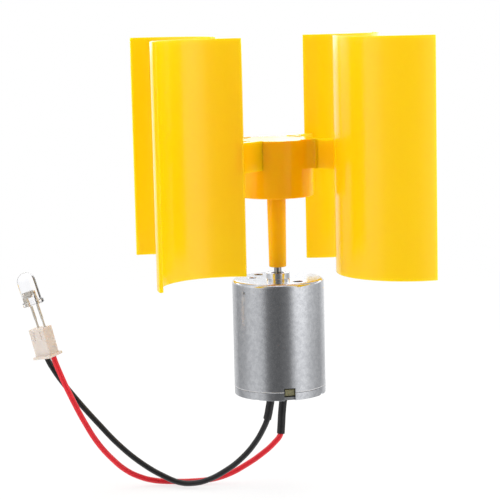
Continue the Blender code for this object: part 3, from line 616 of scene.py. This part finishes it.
# ---- motor
@dataclass
class Motor(Assembly):
    """The round can, its end plate and what shows through its openings."""

    steps: int = 144
    radius: float = 12.2 * MM
    wall: float = 0.8 * MM
    height: float = 30.8 * MM
    shoulder: float = 1 * MM
    seam: float = 2.06 * MM
    lip: float = 0.2 * MM
    boss_radius: float = 3.15 * MM
    boss_height: float = 1.6 * MM
    boss_wall: float = 0.5 * MM
    boss_mouth: float = 1.7 * MM
    hole_circle: float = 8.5 * MM
    hole_radius: float = 1.3 * MM
    hole_roll: float = 0.12 * MM
    hole_azimuths: Angles = (-52, 128)
    vent: Point = (6.8 * MM, 1 * MM, 171)
    notch_azimuths: Angles = (-78, 102)
    notch_width: float = 3 * MM
    notch_depth: float = 0.3 * MM
    notch_top: float = 3.3 * MM
    dimple_azimuths: Angles = (-137, -13, 107)
    dimple_height: float = 28.2 * MM
    dimple_size: float = 1.15 * MM
    dimple_depth: float = 0.5 * MM
    dimple_flare: float = 1.3
    dimple_squash: float = 0.5
    dimple_turns: Angles = (35, 125)
    bead_proud: float = 0.05 * MM
    bead_depth: float = 0.3 * MM
    bead_band: Pair = (0.03 * MM, 0.3 * MM)
    bead_edge: float = 0.04 * MM
    stake_azimuths: Angles = (-121, -26, 59, 149)
    stake_size: Pair = (0.85 * MM, 0.45 * MM)
    rim: float = 2 * MM
    plate: float = 0.8 * MM
    plate_edge: float = 0.15 * MM
    cup: Point = (2.6 * MM, 3.2 * MM, 3.2 * MM)
    window_radius: float = 1.75 * MM
    terminal_circle: float = 5.5 * MM
    terminal_azimuths: Angles = (80, -118)

    def build(self) -> None:
        """Builds the metal shell and dresses the parts inside it."""
        self.build_can()
        self.build_end_plate()
        self.keep({
            "brush_holder": KHAKI, "rear_bearing": BRONZE, "front_bearing": BRONZE,
            "magnet_north": FERRITE, "magnet_south": FERRITE, "magnet_clip": POLISHED,
        })
        for pole in ("red", "black"):
            self.keep({f"terminal_{pole}": BRASS, f"brush_{pole}": PHOSPHOR_BRONZE})

    def notches(self, inner: float, bottom: float, top: float) -> list[Shape]:
        """Cutters for the two notches in the seam."""
        half = self.notch_width / 2
        low, high = (inner, -half, bottom), (self.radius + MM, half, top)
        return [Shape.block(low, high).moved(turned(a)) for a in self.notch_azimuths]

    def hole(self, circle: float, radius: float, azimuth: float) -> Shape:
        """A cutter for a hole in the front face whose edge is rolled in a little."""
        face, roll = self.height, self.hole_roll
        made = Shape.turned([
            (0, face + MM), (radius + roll + MM, face + MM), (radius, face - roll),
            (radius, face - self.wall - MM), (0, face - self.wall - MM),
        ], 48)
        return made.moved(Matrix.Translation(polar(circle, azimuth)))

    def dimple(self, azimuth: float) -> list[Shape]:
        """Cutters for a punch mark in the can's side, two crossed wedges."""
        size = self.dimple_size
        spot = Vector((self.radius - self.dimple_depth, 0, self.dimple_height))
        place = turned(azimuth) @ Matrix.Translation(spot) @ turned(90, "Y")
        squash = Matrix.Diagonal((1.0, self.dimple_squash, 1.0, 1.0))
        return [
            Shape.rod(0.0, 0, size, steps=4, top_radius=size * self.dimple_flare)
            .moved(place @ turned(turn) @ squash)
            for turn in self.dimple_turns
        ]

    def build_can(self) -> None:
        """Draws the can: shoulder, boss, holes, punch marks and notches."""
        radius, wall, top = self.radius, self.wall, self.height
        inner, bend = radius - wall, self.shoulder
        corner = [
            (radius - bend + bend * math.sin(angle), top - bend + bend * math.cos(angle))
            for angle in (math.radians(10 * step) for step in range(10))
        ]
        boss_top = top + self.boss_height
        boss_inner = self.boss_radius - self.boss_wall
        profile = [
            (self.boss_mouth, boss_top), (self.boss_radius, boss_top), (self.boss_radius, top),
            *corner, (radius, self.seam), (inner, self.seam), (inner, top - bend),
            (inner - wall / 2, top - wall), (boss_inner, top - wall),
            (boss_inner, boss_top - self.boss_wall), (self.boss_mouth, boss_top - self.boss_wall),
        ]
        can = Shape.turned(profile, self.steps).softened(self.lip)
        cutters = [self.hole(self.hole_circle, self.hole_radius, a) for a in self.hole_azimuths]
        cutters.append(self.hole(*self.vent))
        cutters += self.notches(radius - 2 * wall, self.seam - MM, self.notch_top)
        for azimuth in self.dimple_azimuths:
            cutters += self.dimple(azimuth)
        self.add("drawn_can", can.combined(Cut.REMOVE, *cutters), PLATED, ["motor_can"])
        self.build_lip()

    def build_lip(self) -> None:
        """Lays a thin proud band along the can's seam, whose lighter, rougher steel is a painted
        highlight for the bright line reflected there.
        """
        inside, proud = self.radius - self.bead_depth, self.radius + self.bead_proud
        low, high = (self.seam + height for height in self.bead_band)
        profile = [(inside, low), (proud, low), (proud, high), (inside, high)]
        lip = Shape.turned(profile, self.steps).softened(self.bead_edge)
        lip.combined(Cut.REMOVE, *self.notches(inside - MM, self.seam - MM, self.notch_top))
        self.add("painted_highlight_lip", lip, PAINTED_HIGHLIGHT_STEEL)

    def build_end_plate(self) -> None:
        """Draws the rear plate with its rim, bearing cup, windows and staking notches."""
        radius, plate = self.radius, self.plate
        inner = radius - self.wall
        bore, cup_radius, cup_top = self.cup
        profile = [
            (0, plate), (bore, plate), (bore, cup_top), (cup_radius, cup_top),
            (cup_radius, plate), (inner, plate), (inner, self.rim), (radius, self.rim),
            (radius, 0), (0, 0),
        ]
        rear = Shape.turned(profile, self.steps).softened(self.plate_edge)
        cutters = self.notches(inner - self.notch_depth, -MM, self.rim + MM)
        cutters += [
            Shape.rod(self.window_radius, -MM, plate + MM, polar(self.terminal_circle, azimuth))
            for azimuth in self.terminal_azimuths
        ]
        wide, deep = self.stake_size
        outline = [(-wide, 0), (-wide / 2, deep), (wide / 2, deep), (wide, 0), (0, -deep)]
        stand = Matrix.Translation((radius, 0, 0)) @ turned(90) @ turned(90, "X")
        for azimuth in self.stake_azimuths:
            stake = Shape.prism(outline, -0.5 * MM, 0.5 * MM)
            cutters.append(stake.moved(turned(azimuth) @ stand))
        self.add("end_plate_pressing", rear.combined(Cut.REMOVE, *cutters), PLATED, ["end_plate"])


@dataclass
class Shaft(Assembly):
    """The ground shaft and the armature that it carries inside the can."""

    radius: float = 1 * MM
    bottom: float = 1.4 * MM
    top: float = 47 * MM
    chamfer: float = 0.2 * MM
    steps: int = 64

    def build(self) -> None:
        """Builds the shaft and dresses the armature's CAD nodes."""
        profile = [
            (0, self.top), (self.radius, self.top), (self.radius, self.bottom), (0, self.bottom),
        ]
        shaft = Shape.turned(profile, self.steps).softened(self.chamfer)
        self.add("ground_shaft", shaft, POLISHED, ["shaft"])
        self.keep({"armature_core": LAMINATION, "commutator_barrel": BLACK})
        for end in ("rear", "front"):
            self.keep({f"insulator_{end}": FIBRE, f"thrust_washer_{end}": FIBRE})
        for pole in (1, 2, 3):
            self.keep({f"winding_{pole}": ENAMELLED, f"commutator_bar_{pole}": COPPER})


# ---- rotor
@dataclass
class Rotor(Assembly):
    """The yellow hub with its stem, and the four curved vanes on their arms."""

    hub_radius: float = 10 * MM
    hub_bottom: float = 52.9 * MM
    hub_top: float = 67.9 * MM
    hub_wall: float = 1.8 * MM
    hub_edge: float = 0.25 * MM
    hub_steps: int = 128
    stem_bottom: float = 33.9 * MM
    stem_radii: Pair = (2.5 * MM, 2.3 * MM)
    bore: float = 1.3 * MM
    bore_top: float = 47.3 * MM
    blades: int = 4
    first_azimuth: float = -25.0
    vane_centre: Pair = (35.4 * MM, 4.16 * MM)
    vane_radius: float = 18.2 * MM
    vane_thickness: float = 1 * MM
    vane_span: Pair = (195.0, 313.9)
    vane_heights: Pair = (33.8 * MM, 94.7 * MM)
    vane_edge: float = 0.16 * MM
    vane_steps: int = 64
    arm_slant: float = -12.8
    arm_reaches: Pair = (8.8 * MM, 7.9 * MM)
    arm_thickness: float = 2 * MM
    arm_heights: Pair = (60.4 * MM, 68.1 * MM)
    root_depth: float = 0.5 * MM
    fillet: float = 3 * MM
    fillet_steps: int = 12
    root_inset: float = 0.03 * MM
    root_foot: float = 0.93

    def build(self) -> None:
        """Builds the hub and its vanes."""
        self.build_hub()
        for number in range(1, self.blades + 1):
            self.build_vane(number)

    def azimuths(self) -> list[float]:
        """The turn of each arm round the axis, in degrees."""
        return [self.first_azimuth + 360 / self.blades * number for number in range(self.blades)]

    def build_hub(self) -> None:
        """An upside-down cup with a stem down its middle, bored for the shaft."""
        inside = self.hub_radius - self.hub_wall
        roof = self.hub_top - self.hub_wall
        stem_top, stem_end = self.stem_radii
        profile = [
            (0, self.hub_top), (self.hub_radius, self.hub_top), (self.hub_radius, self.hub_bottom),
            (inside, self.hub_bottom), (inside, roof), (stem_top, roof),
            (stem_top, self.hub_bottom), (stem_end, self.stem_bottom),
            (self.bore, self.stem_bottom), (self.bore, self.bore_top), (0, self.bore_top),
        ]
        hub = Shape.turned(profile, self.hub_steps).softened(self.hub_edge, 3)
        roots = [self.root().moved(turned(azimuth)) for azimuth in self.azimuths()]
        hub.combined(Cut.JOIN, *roots)
        # the hub wears the painted-shade copy of the yellow plastic
        self.add("moulded_hub", hub, PAINTED_SHADE_YELLOW, ["hub"])

    def arm(self) -> Shape:
        """An arm in its own frame, from just inside the hub to the vane."""
        half = self.arm_thickness / 2
        long_side, short_side = self.arm_reaches
        foot = -self.root_depth
        outline = [(foot, -half), (long_side, -half), (short_side, half), (foot, half)]
        return Shape.prism(outline, *self.arm_heights)

    def root(self) -> Shape:
        """The fillet that runs smoothly from the hub's side into one side of an arm."""
        slant = math.radians(self.arm_slant)
        along = Vector((math.cos(slant), math.sin(slant)))
        aside = Vector((along.y, -along.x))
        start = Vector((self.hub_radius, 0)) + aside * (self.arm_thickness / 2 + self.fillet)
        reach = start.dot(along)
        span = (self.hub_radius + self.fillet) ** 2 - start.length_squared + reach ** 2
        middle = start + along * (math.sqrt(span) - reach)
        first, last, steps = -middle.normalized(), -aside, self.fillet_steps
        arc = [
            middle + self.fillet * first.slerp(last, step / steps) for step in range(steps + 1)
        ]
        inward = aside * -0.5 * self.arm_thickness
        heart = Vector((self.hub_radius * self.root_foot, 0))
        outline = [arc[0] * self.root_foot, *arc, arc[-1] + inward, heart]
        bottom, top = self.arm_heights
        return Shape.prism(outline, bottom + self.root_inset, top - self.root_inset)

    def build_vane(self, number: int) -> None:
        """A part-round vane and its arm, moulded in one and thin enough to let light through."""
        start, end = self.vane_span
        half = self.vane_thickness / 2
        bottom, top = self.vane_heights
        centre = Vector((*self.vane_centre, 0))
        vane = Shape()
        foot = polar(1, start)
        near, far = self.vane_radius - half, self.vane_radius + half
        corners = [(near, bottom), (far, bottom), (far, top), (near, top)]
        verts = [
            vane.bm.verts.new(centre + foot * reach + Vector((0, 0, height)))
            for reach, height in corners
        ]
        face = vane.bm.faces.new(verts)
        vane.spun([*verts, *face.edges, face], centre, end - start, self.vane_steps)
        vane.welded().softened(self.vane_edge, 3, 60)
        place = Matrix.Translation((self.hub_radius, 0, 0)) @ turned(self.arm_slant)
        vane.combined(Cut.JOIN, self.arm().moved(place))
        vane.moved(turned(self.azimuths()[number - 1]))
        self.add(f"moulded_vane_{number}", vane, YELLOW, [f"blade_{number}"])


# ---- leads
@dataclass
class Leads(Assembly):
    """The two insulated leads and the shrink sleeves over their soldered ends."""

    radius: float = 0.77 * MM
    sleeve_radius: float = 1.08 * MM
    round_steps: int = 7
    curve_steps: int = 8
    red_route: tuple[Point, ...] = (
        (-0.02, 5.1, -11.6), (-0.2, 5.1, -13.1), (-2, 4.8, -15.4), (-5.7, 4.4, -18.5),
        (-9.9, 4, -21.2), (-14.3, 3.5, -23.4), (-19, 3.1, -24.7), (-24.4, 2.7, -25.1),
        (-30, 2.5, -25), (-34.9, 2.5, -24.6), (-38.7, 2.4, -23.5), (-42.4, 2.2, -21.5),
        (-46, 1.9, -18.2), (-49.6, 1.6, -13.8), (-53, 1.3, -7.9), (-56.2, 1.5, -1.4),
        (-59.1, 1.8, 5.3), (-60.9, 2.35, 10), (-61.2, 2.4, 11.1),
    )
    black_route: tuple[Point, ...] = (
        (-3.3, -4.75, -5), (-3.7, -4.6, -6.7), (-4.6, -4.1, -8.9), (-6.9, -3.4, -13),
        (-10.7, -2.8, -17.5), (-15.4, -2.1, -21.2), (-20.4, -1.5, -23.8), (-24.2, -0.9, -24.7),
        (-27.6, -0.3, -24.6), (-32, 0.3, -22.9), (-37.9, 1, -19.4), (-43.9, 1.9, -14.5),
        (-49.5, 2.8, -8.6), (-55.1, 3.7, -2.2), (-58.5, 4.2, 2.1), (-61.1, 4.2, 6),
        (-62.8, 3.95, 9.4), (-63.1, 3.9, 10.6),
    )
    red_sleeve: tuple[Point, ...] = (
        (1, 5.4, -0.4), (1, 5.4, -2), (0.6, 5.4, -4.6), (0.3, 5.3, -7.4),
        (0.1, 5.2, -10.2), (-0.1, 5.1, -12.8),
    )
    black_sleeve: tuple[Point, ...] = (
        (-2.6, -4.9, -0.4), (-2.7, -4.9, -1.8), (-3, -4.85, -3.4), (-3.3, -4.75, -5),
        (-3.65, -4.6, -6.4),
    )

    def strand(self, name: str, route: Sequence[Point], radius: float) -> Piece:
        """A round tube on one smooth open curve.

        Args:
            name: The piece's name.
            route: The points that it passes, in millimetres.
            radius: The tube's radius.

        Returns:
            The curve object.
        """
        curve = bpy.data.curves.new(name, "CURVE")
        curve.dimensions = "3D"
        curve.bevel_depth = radius
        curve.bevel_resolution = self.round_steps
        curve.use_fill_caps = True
        curve.resolution_u = self.curve_steps
        spline = curve.splines.new("BEZIER")
        spline.bezier_points.add(len(route) - 1)
        for knot, place in zip(spline.bezier_points, route):
            knot.co = Vector(place) * MM
            knot.handle_left_type = knot.handle_right_type = "AUTO"
        return shown(name, curve)

    def build(self, carried: Sequence[Piece]) -> None:
        """Lays the leads and their sleeves.

        Args:
            carried: The pieces at the far end of both leads; not used.
        """
        runs = (("red", self.red_route, RED_WIRE), ("black", self.black_route, BLACK_WIRE))
        for name, route, finish in runs:
            lead = self.strand(f"{name}_lead", route, self.radius)
            lead.visible_glossy = False
            self.settle(lead, finish, [f"lead_{name}"])
        for name, route in (("red", self.red_sleeve), ("black", self.black_sleeve)):
            sleeve = self.strand(f"{name}_lead_sleeve", route, self.sleeve_radius)
            self.settle(sleeve, SLEEVE, [f"sleeve_{name}"])


# ---- connector and LED
@dataclass
class Plug(Assembly):
    """The two-way connector housing and the LED whose leads stand in its contacts."""

    seat: Point = (-61.96 * MM, 3.15 * MM, 10.23 * MM)
    lean: float = 13.4
    turn: float = 37.0
    pitch: float = 2.54 * MM
    housing: Point = (5.7 * MM, 3.5 * MM, 8.3 * MM)
    housing_edge: float = 0.22 * MM
    middle: Pair = (-0.35 * MM, -0.45 * MM)
    flange: Point = (6.4 * MM, 5.2 * MM, 0.75 * MM)
    flange_edge: float = 0.15 * MM
    cavity: float = 1.8 * MM
    mouth: Pair = (0.8 * MM, 0.9 * MM)
    keyway: Point = (0.9 * MM, 0.12 * MM, 2.4 * MM)
    keyway_bottom: float = 5.1 * MM
    led_seat: Point = (-61.65 * MM, 3.15 * MM, 10.31 * MM)
    led_lean: float = 16.2
    led_base: float = 14.8 * MM
    lens_radius: float = 2.5 * MM
    lens_height: float = 8.9 * MM
    rim_radius: float = 2.9 * MM
    rim_height: float = 1 * MM
    rim_flat: float = 2.6 * MM
    lens_edge: float = 0.12 * MM
    lead_width: float = 0.42 * MM
    lead_edge: float = 0.05 * MM
    lead_bottom: float = 5 * MM
    stop_width: float = 0.62 * MM
    stop_proud: float = 0.03 * MM
    stop_drop: float = 4.3 * MM
    stop_below: float = 1.4 * MM
    post_rise: float = 3.7 * MM
    anvil_end: float = 0.1 * MM
    anvil_share: float = 0.96
    anvil_drops: Pair = (1.7 * MM, 0.7 * MM)
    cup_radius: float = 0.8 * MM
    cup_place: float = -0.3 * MM
    cup_rise: float = 3.8 * MM
    cup_depth: float = 1.2 * MM
    cup_foot: float = 0.7
    bowl_depth: float = 0.6 * MM
    bowl_shares: Pair = (0.5, 0.85)

    def frame(self, seat: Point, lean: float) -> Matrix:
        """A frame on a seat: Z leans with the part, X lies along the row of contacts."""
        return Matrix.Translation(seat) @ turned(-lean, "Y") @ turned(-self.turn)

    def centred(self, size: Point, bottom: float, x: float = 0.0, y: float = 0.0) -> Shape:
        """A box of a size that stands on a height."""
        wide, deep = size[0] / 2, size[1] / 2
        return Shape.block((x - wide, y - deep, bottom), (x + wide, y + deep, bottom + size[2]))

    def build(self) -> list[Piece]:
        """Builds the housing and the LED.

        Returns:
            The pieces that hang on the leads.
        """
        inner = {"contact_red": TINNED, "contact_black": TINNED, "led_chip": CHIP}
        self.keep(inner)
        kept = [self.nodes[name] for name in inner]
        return [self.build_housing(), self.build_lens(), *self.build_leads(), *kept]

    def build_housing(self) -> Piece:
        """The moulded housing with its flange, its stepped cavities and its keyways."""
        x, y = self.middle
        body = self.centred(self.housing, 0, x, y).softened(self.housing_edge, 3)
        flange = self.centred(self.flange, 0, x, y).softened(self.flange_edge)
        body.combined(Cut.JOIN, flange)
        front = y - self.housing[1] / 2
        width, depth, height = self.keyway
        mouth_width, mouth_depth = self.mouth
        step = self.housing[2] - mouth_depth
        cutters = []
        for side in (-1, 1):
            row = side * self.pitch / 2
            place = front + (depth - MM) / 2
            cutters += [
                self.centred((self.cavity, self.cavity, step + MM), -MM, row),
                self.centred((mouth_width, mouth_width, 2 * MM), step - 0.5 * MM, row),
                self.centred((width, depth + MM, height), self.keyway_bottom, row, place),
            ]
        body.combined(Cut.REMOVE, *cutters).moved(self.frame(self.seat, self.lean))
        return self.add("nylon_housing", body, CREAM, ["connector_housing"])

    def build_lens(self) -> Piece:
        """The clear domed body with its rim and the flat on the cathode's side."""
        base, top = self.led_base, self.led_base + self.lens_height
        radius, rim = self.lens_radius, self.rim_radius
        dome = base + self.lens_height - radius
        cap = [
            (radius * math.sin(angle), dome + radius * math.cos(angle))
            for angle in (math.radians(6 * step) for step in range(16))
        ]
        cap[0] = (0, top)
        shelf = base + self.rim_height
        profile = [*cap, (radius, shelf), (rim, shelf), (rim, base), (0, base)]
        lens = Shape.turned(profile).softened(self.lens_edge, 3)
        reach = rim + MM
        flat = Shape.block((-reach, -reach, base - MM), (-self.rim_flat, reach, shelf + MM))
        lens.combined(Cut.REMOVE, flat).moved(self.frame(self.led_seat, self.led_lean))
        return self.add("epoxy_lens", lens, CLEAR, ["led_lens"])

    def build_leads(self) -> list[Piece]:
        """The two square leads with their stops, the post, and the cup that holds the chip."""
        made = []
        width, top = self.lead_width, self.led_base + self.post_rise
        low = self.led_base - self.stop_drop
        for name, side in (("anode", 1), ("cathode", -1)):
            x = side * self.pitch / 2
            lead = self.centred((width, width, top - self.lead_bottom), self.lead_bottom, x)
            lead.softened(self.lead_edge)
            size = (self.stop_width, width + self.stop_proud, top - self.stop_below - low)
            lead.combined(Cut.JOIN, self.centred(size, low, x).softened(self.lead_edge))
            if side < 0:
                self.add_cup(lead, x)
            lead.moved(self.frame(self.led_seat, self.led_lean))
            made.append(self.add(f"tinned_{name}", lead, TINNED, [f"led_{name}"]))
        return made

    def add_cup(self, lead: Shape, x: float) -> None:
        """Joins the anvil and the hollow cup to the lead that stands at x."""
        top = self.led_base + self.cup_rise
        half = self.lead_width / 2 * self.anvil_share
        low, high = (top - drop for drop in self.anvil_drops)
        anvil = Shape.block((x, -half, low), (self.anvil_end, half, high))
        radius, centre = self.cup_radius, (self.cup_place, 0)
        cup = Shape.rod(radius * self.cup_foot, top - self.cup_depth, top, centre, 32, radius)
        lead.combined(Cut.JOIN, anvil, cup)
        foot, mouth = (radius * share for share in self.bowl_shares)
        bowl = Shape.rod(foot, top - self.bowl_depth, top + 0.01 * MM, centre, 32, mouth)
        lead.combined(Cut.REMOVE, bowl)


# ---- studio
# how bright the surround is to a mirror, by its angle from the camera's side towards the right
RING_LEVELS = (
    (-180, 0.72), (-150, 0.60), (-136, 0.50), (-129, 0.48), (-126, 0.34), (-112, 0.35),
    (-95, 0.40), (-78, 0.53), (-60, 0.57), (-46, 0.50), (-38, 0.40), (-30, 0.20), (-20, 0.13),
    (0, 0.11), (14, 0.15), (24, 0.21), (33, 0.48), (42, 0.80), (55, 0.90), (66, 0.84),
    (79, 0.64), (95, 0.52), (110, 0.46), (121, 0.42), (127, 0.50), (134, 0.60), (150, 0.72),
    (180, 0.84),
)


@dataclass
class Studio:
    """The camera, the soft lamps, the pale floor and the white surround."""

    camera_place: Point = (0.0, -462.5 * MM, 102.4 * MM)
    yaw: float = -0.90
    pitch: float = 7.87
    roll: float = -1.32
    lens: float = 126.56
    floor_radius: float = 2.5
    clearance: float = 0.2 * MM
    shadow_share: float = 0.3
    shadow_fade: Pair = (0.1, 0.4)
    white: float = 0.9
    black: float = 0.02
    room: Point = (0.82, 0.80, 0.20)
    ring_radius: float = 200 * MM
    ring_heights: Pair = (-150 * MM, 350 * MM)
    ring_gains: Point = (1.15, 0.6, 0.2)
    ring_left: tuple[Pair, Pair] = ((0.02, -0.1), (-0.01, 0.05))
    ring_right: tuple[Pair, Pair] = ((0.02, 0.1), (0.0, -0.03))
    crown: float = 2.0
    crown_depth: Pair = (0.02, 0.12)
    crown_heights: tuple[Pair, Pair] = ((0.084, 0.092), (0.116, 0.104))
    flag_arc: Pair = (136, 56)
    flag_radius: float = 55 * MM
    flag_heights: Pair = (-0.02, 0.09)
    flag_centre: Point = (-0.067, 0.003, 0.0)

    def build(self, lowest: float) -> None:
        """Sets up everything round the object.

        Args:
            lowest: The height of the object's lowest point.
        """
        self.aim_camera()
        self.hang_lamps()
        self.lay_floor(lowest - self.clearance)
        self.stand_ring()
        self.stand_flag()
        self.light_room()

    def aim_camera(self) -> None:
        """Puts the camera in front, a little above the rotor's middle."""
        data = bpy.data.cameras.new("camera")
        data.lens = self.lens
        data.clip_start = MM
        camera = shown("camera", data)
        aim = turned(-self.yaw) @ turned(90 - self.pitch, "X") @ turned(self.roll)
        camera.matrix_world = Matrix.Translation(self.camera_place) @ aim
        bpy.context.scene.camera = camera

    def hang_lamps(self) -> None:
        """Hangs a soft box on each side and one above."""
        boxes = (
            ("left_box", (-0.72, -0.22, 0.25), (0.6, 0.9), 2.7),
            ("right_box", (0.72, -0.22, 0.25), (0.6, 0.9), 2.9),
            ("top_box", (0.0, 0.05, 0.85), (0.8, 0.8), 2.0),
        )
        for name, place, size, power in boxes:
            data = bpy.data.lights.new(name, "AREA")
            data.shape = "RECTANGLE"
            data.size, data.size_y = size
            data.energy = power
            lamp = shown(name, data)
            lamp.visible_camera = lamp.visible_glossy = False
            aim = (Vector((0, 0, 0.05)) - Vector(place)).to_track_quat("-Z", "Y")
            lamp.matrix_world = Matrix.Translation(place) @ aim.to_matrix().to_4x4()

    def coat(self, piece: Piece, name: str) -> Nodes:
        """Gives a piece of the studio a material of its own, and returns its nodes."""
        material = bpy.data.materials.new(name)
        material.use_nodes = True
        piece.data.materials.append(material)
        return Nodes(material.node_tree)

    def paint(self, nodes: Nodes, level: float) -> Socket:
        """A dull grey of a level."""
        colour = (level, level, level, 1)
        return nodes.add("ShaderNodeBsdfDiffuse", None, {"Color": colour}).outputs[0]

    def lay_floor(self, height: float) -> None:
        """Lays a white floor that keeps a soft shadow under the object."""
        disc = Shape()
        bmesh.ops.create_circle(
            disc.bm, cap_ends=True, segments=96, radius=self.floor_radius,
            matrix=Matrix.Translation((0, 0, height)),
        )
        floor = shown("floor", disc.mesh("floor"))
        nodes = self.coat(floor, "white_floor")
        x, y, _ = nodes.axes(nodes.place())
        away = nodes.within((x * x + y * y) ** 0.5, *self.shadow_fade)
        glow = nodes.seen() * (1 - self.shadow_share * (1 - away))
        light = nodes.add("ShaderNodeEmission", None, {"Color": (1, 1, 1, 1), "Strength": 1.0})
        sides = {0: glow, 1: self.paint(nodes, self.white), 2: light.outputs[0]}
        nodes.end(nodes.add("ShaderNodeMixShader", None, sides).outputs[0])
        floor.visible_glossy = False
        floor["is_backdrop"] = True

    def sheet(
        self, name: str, arc: Pair, radius: float, heights: Pair, centre: Point = (0, 0, 0),
    ) -> Piece:
        """An upright part-round card of the studio.

        Args:
            name: The card's name.
            arc: Where it starts and how far it goes round, in degrees from +X.
            radius: How far it stands from its centre.
            heights: Its lower and upper edge.
            centre: The middle of its arc.

        Returns:
            The card, which no camera sees and which casts no shadow.
        """
        start, sweep = arc
        made = Shape()
        foot = Vector(centre) + polar(radius, start)
        ends = [made.bm.verts.new((foot.x, foot.y, height)) for height in heights]
        edge = made.bm.edges.new(ends)
        card = shown(name, made.spun([*ends, edge], centre, sweep).mesh(name))
        for way in ("camera", "diffuse", "glossy", "transmission", "volume_scatter", "shadow"):
            setattr(card, f"visible_{way}", False)
        card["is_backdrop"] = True
        return card

    def stand_ring(self) -> None:
        """Stands the ring that metal mirrors: dark behind the camera, white at the back."""
        ring = self.sheet("mirrored_ring", (0, 360), self.ring_radius, self.ring_heights)
        ring.visible_glossy = True
        nodes = self.coat(ring, "mirrored_ring")
        x, y, z = nodes.axes(nodes.place())
        turn = nodes.maths("ARCTAN2", x, -1 * y) * (1 / math.tau) + 0.5
        stops = [((angle + 180) / 360, level) for angle, level in RING_LEVELS]
        ramp = nodes.add("ShaderNodeValToRGB", {"stops": stops}, {"Fac": turn})
        level = Number(nodes, ramp.outputs[0])
        across, up = self.ring_left
        left = nodes.within(x, *across) * nodes.within(z, *up)
        across, down = self.ring_right
        low = nodes.within(x, *across) * nodes.within(z, *down)
        plain, lift, drop = self.ring_gains
        rising, falling = self.crown_heights
        band = nodes.within(z, *rising) * nodes.within(z, *falling)
        glow = level * (plain + lift * left - drop * low)
        glow = glow + self.crown * nodes.within(y, *self.crown_depth) * band
        nodes.end(nodes.add("ShaderNodeEmission", None, {"Strength": glow}).outputs[0])

    def stand_flag(self) -> None:
        """Stands a black card behind and left of the LED, to give its clear body an edge."""
        flag = self.sheet(
            "black_flag", self.flag_arc, self.flag_radius, self.flag_heights, self.flag_centre,
        )
        flag.visible_transmission = True
        nodes = self.coat(flag, "black_card")
        nodes.end(self.paint(nodes, self.black))

    def light_room(self) -> None:
        """Gives a white surround to the eye and a plain light to the object."""
        world = bpy.data.worlds.new("room")
        bpy.context.scene.world = world
        world.cycles.sampling_method = "NONE"
        world.use_nodes = True
        nodes = Nodes(world.node_tree)
        _, y, z = nodes.axes(nodes.add("ShaderNodeTexCoord").outputs["Generated"])
        level, behind, above = self.room
        lit = level + behind * y + above * z
        seen = nodes.seen()
        shade = world.node_tree.nodes["Background"]
        shade.inputs["Color"].default_value = (1, 1, 1, 1)
        nodes.feed(shade.inputs["Strength"], seen + (1 - seen) * lit)


def corners() -> list[list[float]]:
    """The lowest and highest corner of what shows, as plain lists."""
    return [list(corner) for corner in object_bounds()]


def main() -> None:
    """Builds the turbine's looks in the order in which it is put together."""
    logging.basicConfig(level=logging.INFO, format="%(name)s: %(message)s")
    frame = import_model()
    sizes = {"cad": corners()}
    scene = bpy.context.scene
    scene.view_settings.view_transform = "Standard"
    nodes = frame["nodes"]
    Studio().build(sizes["cad"][0][2])
    carried = Plug("motor", nodes).build()
    Leads("motor", nodes).build(carried)
    Motor("motor", nodes).build()
    Shaft("rotor", nodes).build()
    Rotor("rotor", nodes).build()
    sizes["visual"] = corners()


if __name__ == "__main__":
    main()
